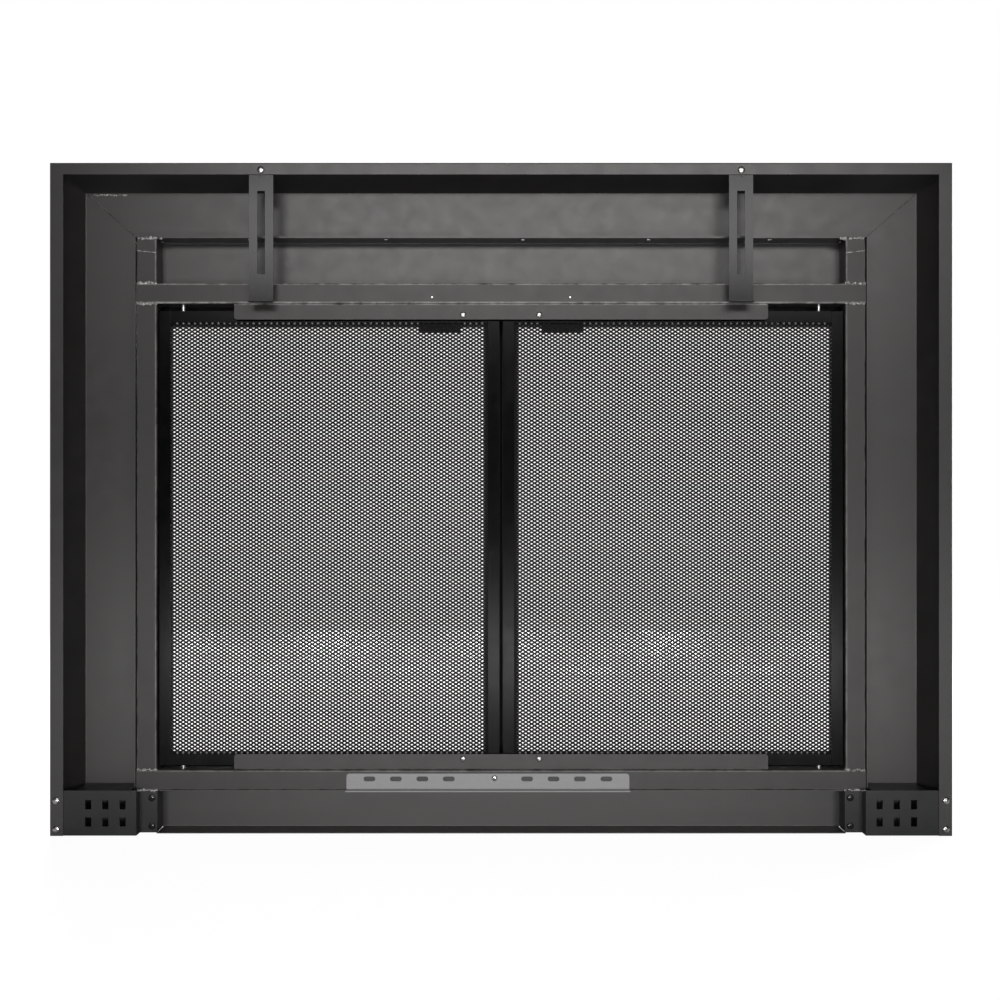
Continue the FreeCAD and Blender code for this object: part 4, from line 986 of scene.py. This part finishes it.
def screw_set(node, coat=None):
    """Replaces a node of small screws that lie along Y, each turned by its own angle."""
    joined = bmesh.new()
    count = 0
    for points in islands(node):
        low = Vector([min(p[i] for p in points) for i in range(3)])
        high = Vector([max(p[i] for p in points) for i in range(3)])
        centre = (low + high) / 2
        head_r = (high.x - low.x) / 2
        faces_fire = reach_at(points, centre, low.y) > reach_at(points, centre, high.y)
        shank_r = reach_at(points, centre, high.y if faces_fire else low.y)
        wide = [p.y for p in points if from_axis(p, centre) > shank_r * 1.25]
        head_h = max(wide) - min(wide) if wide else 2 * MM
        length = high.y - low.y - head_h
        key = (round(head_r, 4), round(head_h, 4), round(shank_r, 4), round(length, 4))
        if key not in patterns:
            patterns[key] = pan_screw(*key)
        seat = (low.y + head_h) if faces_fire else (high.y - head_h)
        lay = Matrix.Rotation(math.radians(90 if faces_fire else -90), 4, "X")
        turn = Matrix.Rotation(turning.uniform(0, math.pi), 4, "Z")
        before = len(joined.verts)
        joined.from_mesh(patterns[key])
        joined.verts.ensure_lookup_table()
        fresh = joined.verts[before:]
        spot = Matrix.Translation((centre.x, seat, centre.z))
        bmesh.ops.transform(joined, matrix=spot @ lay @ turn, verts=fresh)
        count += 1
    key = coat or finish_key(node)
    piece = add_piece(node + "_cross_head", joined, nodes[node]["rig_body"], key, angle=38.0)
    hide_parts(node)
    print(node, "screws", count, "triangles", triangles(piece))
    return piece


for name in ("lip_screws", "bracket_stub_screws", "catch_screws", "draft_knob_screw",
             "handle_screws_left", "handle_screws_right", "hinge_bracket_screws", "magnet_screws"):
    screw_set(name, coat="black_screw" if name == "hinge_bracket_screws" else None)
softened("strap_nuts", 0.3, segments=2, least=25.0)
print("screw patterns:", len(patterns))

# %% [markdown]
# ## Mitre seams
#
# The three members of the surround meet in open mitres with a weld run along
# the inside of the seam, a little below the surface, so the joint reads as a
# dark line and no light comes through. It could be a row of beads, but so little
# of it shows that a strip will do. The cut end of the top member already has
# the shape of that strip: its face is inset and given a thickness.

# %% Mitre welds
WELD_INSET = 0.42 * MM  # back from both skins of the sheet
WELD_OFFSET = 0.5 * MM  # out from the cut end, into the seam
WELD_THICK = 0.7 * MM


def mitre_weld(side, sign):
    """A strip inside the seam, set back from both skins of the sheet."""
    bm = clean_copy("outer_frame_top")
    aslant = [f for f in bm.faces if f.normal.x * sign > 0.3 and abs(f.normal.z) > 0.3]
    cut = {f for f in aslant if abs(f.normal.y) < 0.05}
    bmesh.ops.delete(bm, geom=[f for f in bm.faces if f not in cut], context="FACES")
    facing = max(bm.faces, key=lambda f: f.calc_area()).normal.copy()
    rim = bmesh.ops.inset_region(bm, faces=bm.faces[:], thickness=WELD_INSET, use_even_offset=True,
                                 use_boundary=True)
    bmesh.ops.delete(bm, geom=rim["faces"], context="FACES")
    bmesh.ops.translate(bm, verts=bm.verts[:], vec=facing * WELD_OFFSET)
    bmesh.ops.solidify(bm, geom=bm.faces[:], thickness=WELD_THICK)
    bmesh.ops.recalc_face_normals(bm, faces=bm.faces[:])
    return add_piece("mitre_weld_" + side, bm, "frame", "surround_paint", angle=50.0, weighted=False)


hands = (("left", -1), ("right", 1))
for side, sign in hands:
    piece = mitre_weld(side, sign)
    low = [min(v.co[i] for v in piece.data.vertices) for i in range(3)]
    high = [max(v.co[i] for v in piece.data.vertices) for i in range(3)]
    print("mitre weld", side, [round(1000 * c, 1) for c in low + high], "faces", len(piece.data.polygons))

# %% [markdown]
# ## Welds
#
# The tubes are joined by short MIG welds that were left lumpy under the paint.
# A weld is a row of frozen drops, so each bead starts as a chain of jittered,
# flattened balls. A voxel remesh fuses them into one skin, which looks right
# because real drops fuse the same way.

# %% Weld beads
wobble = random.Random(21)


def weld_bead(name, start, end, radius, proud, ragged, gap, slot="tube_paint", shine=1.0):
    """A bead from start to end, in mm.

    proud is how far it stands off, against its radius; gap is the space between drops, against the radius;
    ragged is how much they stray; shine is how much of the pale spotted colour is painted on it, partly
    chipped paint and partly painted glints.
    """
    start, end = Vector(start) * MM, Vector(end) * MM
    along = end - start
    count = max(2, int(along.length / (radius * gap * MM)))
    bm = bmesh.new()
    for i in range(count):
        size = radius * MM * wobble.uniform(1 - ragged, 1 + ragged)
        spot = start + along * ((i + 0.5) / count)
        spot += Vector((wobble.uniform(-1, 1), 0, wobble.uniform(-1, 1))) * radius * MM * ragged
        before = len(bm.verts)
        bmesh.ops.create_icosphere(bm, subdivisions=2, radius=size)
        bm.verts.ensure_lookup_table()
        fresh = bm.verts[before:]
        bmesh.ops.scale(bm, verts=fresh, vec=(1.0, proud, 1.0))
        bmesh.ops.translate(bm, verts=fresh, vec=spot)
    item = temporary(bm, "bead blank")
    fuse = item.modifiers.new("Fuse", "REMESH")
    fuse.mode = "VOXEL"
    fuse.voxel_size = radius * MM * 0.24
    settle = item.modifiers.new("Settle", "SMOOTH")
    settle.factor = 0.5
    settle.iterations = 2
    bead = baked(item)
    # The whole bead gets the pale spotted colour, scaled by shine: partly chipped paint, partly painted
    # glints.
    scuff_and_highlight = bead.faces.layers.float.new("edge")
    for face in bead.faces:
        face[scuff_and_highlight] = shine
    piece = add_piece(name, bead, "frame", slot, angle=80.0, weighted=False)
    piece.data.materials[0] = finish["weld_paint"]
    return piece


tube_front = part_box("lintel_tube")[0].y / MM
post_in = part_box("post_tube_right")[0].x / MM
post_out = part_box("post_tube_right")[1].x / MM
levels = {
    "stub_top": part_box("upper_stub_right")[1].z / MM - 2.0,
    "lintel_top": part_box("lintel_tube")[1].z / MM,
    "lintel_bottom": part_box("lintel_tube")[0].z / MM,
    "sill_top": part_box("sill_tube")[1].z / MM,
    "sill_bottom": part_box("sill_tube")[0].z / MM,
}
for label, height in levels.items():
    for side, sign in hands:
        reach = 7.0 if label == "stub_top" else 1.0
        ends = (sign * (post_out - 0.8), sign * (post_in - reach))
        weld_bead("weld_%s_%s" % (label, side), (ends[0], tube_front + 0.35, height),
                  (ends[1], tube_front + 0.35, height), radius=1.9, proud=0.9, ragged=0.45, gap=1.35)
print("tube welds:", len(hands) * len(levels))

# %% Fine welds
SHEET = 1.2
face_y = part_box("outer_frame_left")[1].y / MM - SHEET
fold_from = (-518.0, face_y - 0.1, 801.0)
fold_to = (-474.0, face_y - 0.1, 801.0)
weld_bead("weld_corner_fold", fold_from, fold_to, radius=1.1, proud=0.6, ragged=0.45, gap=1.7,
          slot="surround_paint")
for side, sign in hands:
    weld_bead("weld_stub_seam_" + side, (sign * 453.6, tube_front + 0.10, 724.6),
              (sign * 429.8, tube_front + 0.10, 722.0), radius=0.7, proud=0.55, ragged=0.12, gap=0.7)
spots = (-313.4, -143.6, 27.0, 184.2, 334.7)
header_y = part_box("header_panel")[0].y / MM + 0.05
for index, x in enumerate(spots):
    weld_bead("weld_spot_%d" % (index + 1), (x - 2.2, header_y, 738.6), (x + 2.2, header_y, 738.2),
              radius=1.0, proud=0.45, ragged=0.3, gap=1.2, slot="surround_paint")
print("corner, stub and spot welds:", 1 + len(hands) + len(spots))

# %% Seam and corner welds
FOLD_SHARE = 0.69  # where the surround's wall folds, as a share of the mitre from inside
seam_out = Vector((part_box("outer_frame_right")[1].x / MM, face_y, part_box("outer_frame_top")[1].z / MM))
seam_in = Vector((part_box("outer_frame_right")[0].x / MM, face_y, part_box("outer_frame_top")[0].z / MM))
seam_fold = seam_in.lerp(seam_out, FOLD_SHARE)
panel_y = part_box("riser_panel")[1].y / MM - SHEET
reliefs = {
    "header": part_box("header_panel")[1].z / MM - 1.0,
    "riser_top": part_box("riser_panel")[1].z / MM - 1.0,
    "riser_foot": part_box("riser_panel")[0].z / MM + 1.4,
}
for side, sign in hands:
    weld_bead("weld_mitre_" + side, (sign * seam_fold.x, face_y - 0.05, seam_fold.z),
              (sign * seam_in.x, face_y - 0.05, seam_in.z), radius=0.7, proud=0.5, ragged=0.2, gap=0.9,
              slot="surround_paint", shine=0.12)
    for label, height in reliefs.items():
        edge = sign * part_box("lower_stub_right")[0].x / MM
        weld_bead("weld_relief_%s_%s" % (label, side), (edge - sign * 1.6, panel_y, height),
                  (edge + sign * 0.4, panel_y, height), radius=1.05, proud=0.8, ragged=0.1, gap=0.6,
                  slot="surround_paint", shine=0.1)
print("seam and corner welds:", len(hands) * (1 + len(reliefs)))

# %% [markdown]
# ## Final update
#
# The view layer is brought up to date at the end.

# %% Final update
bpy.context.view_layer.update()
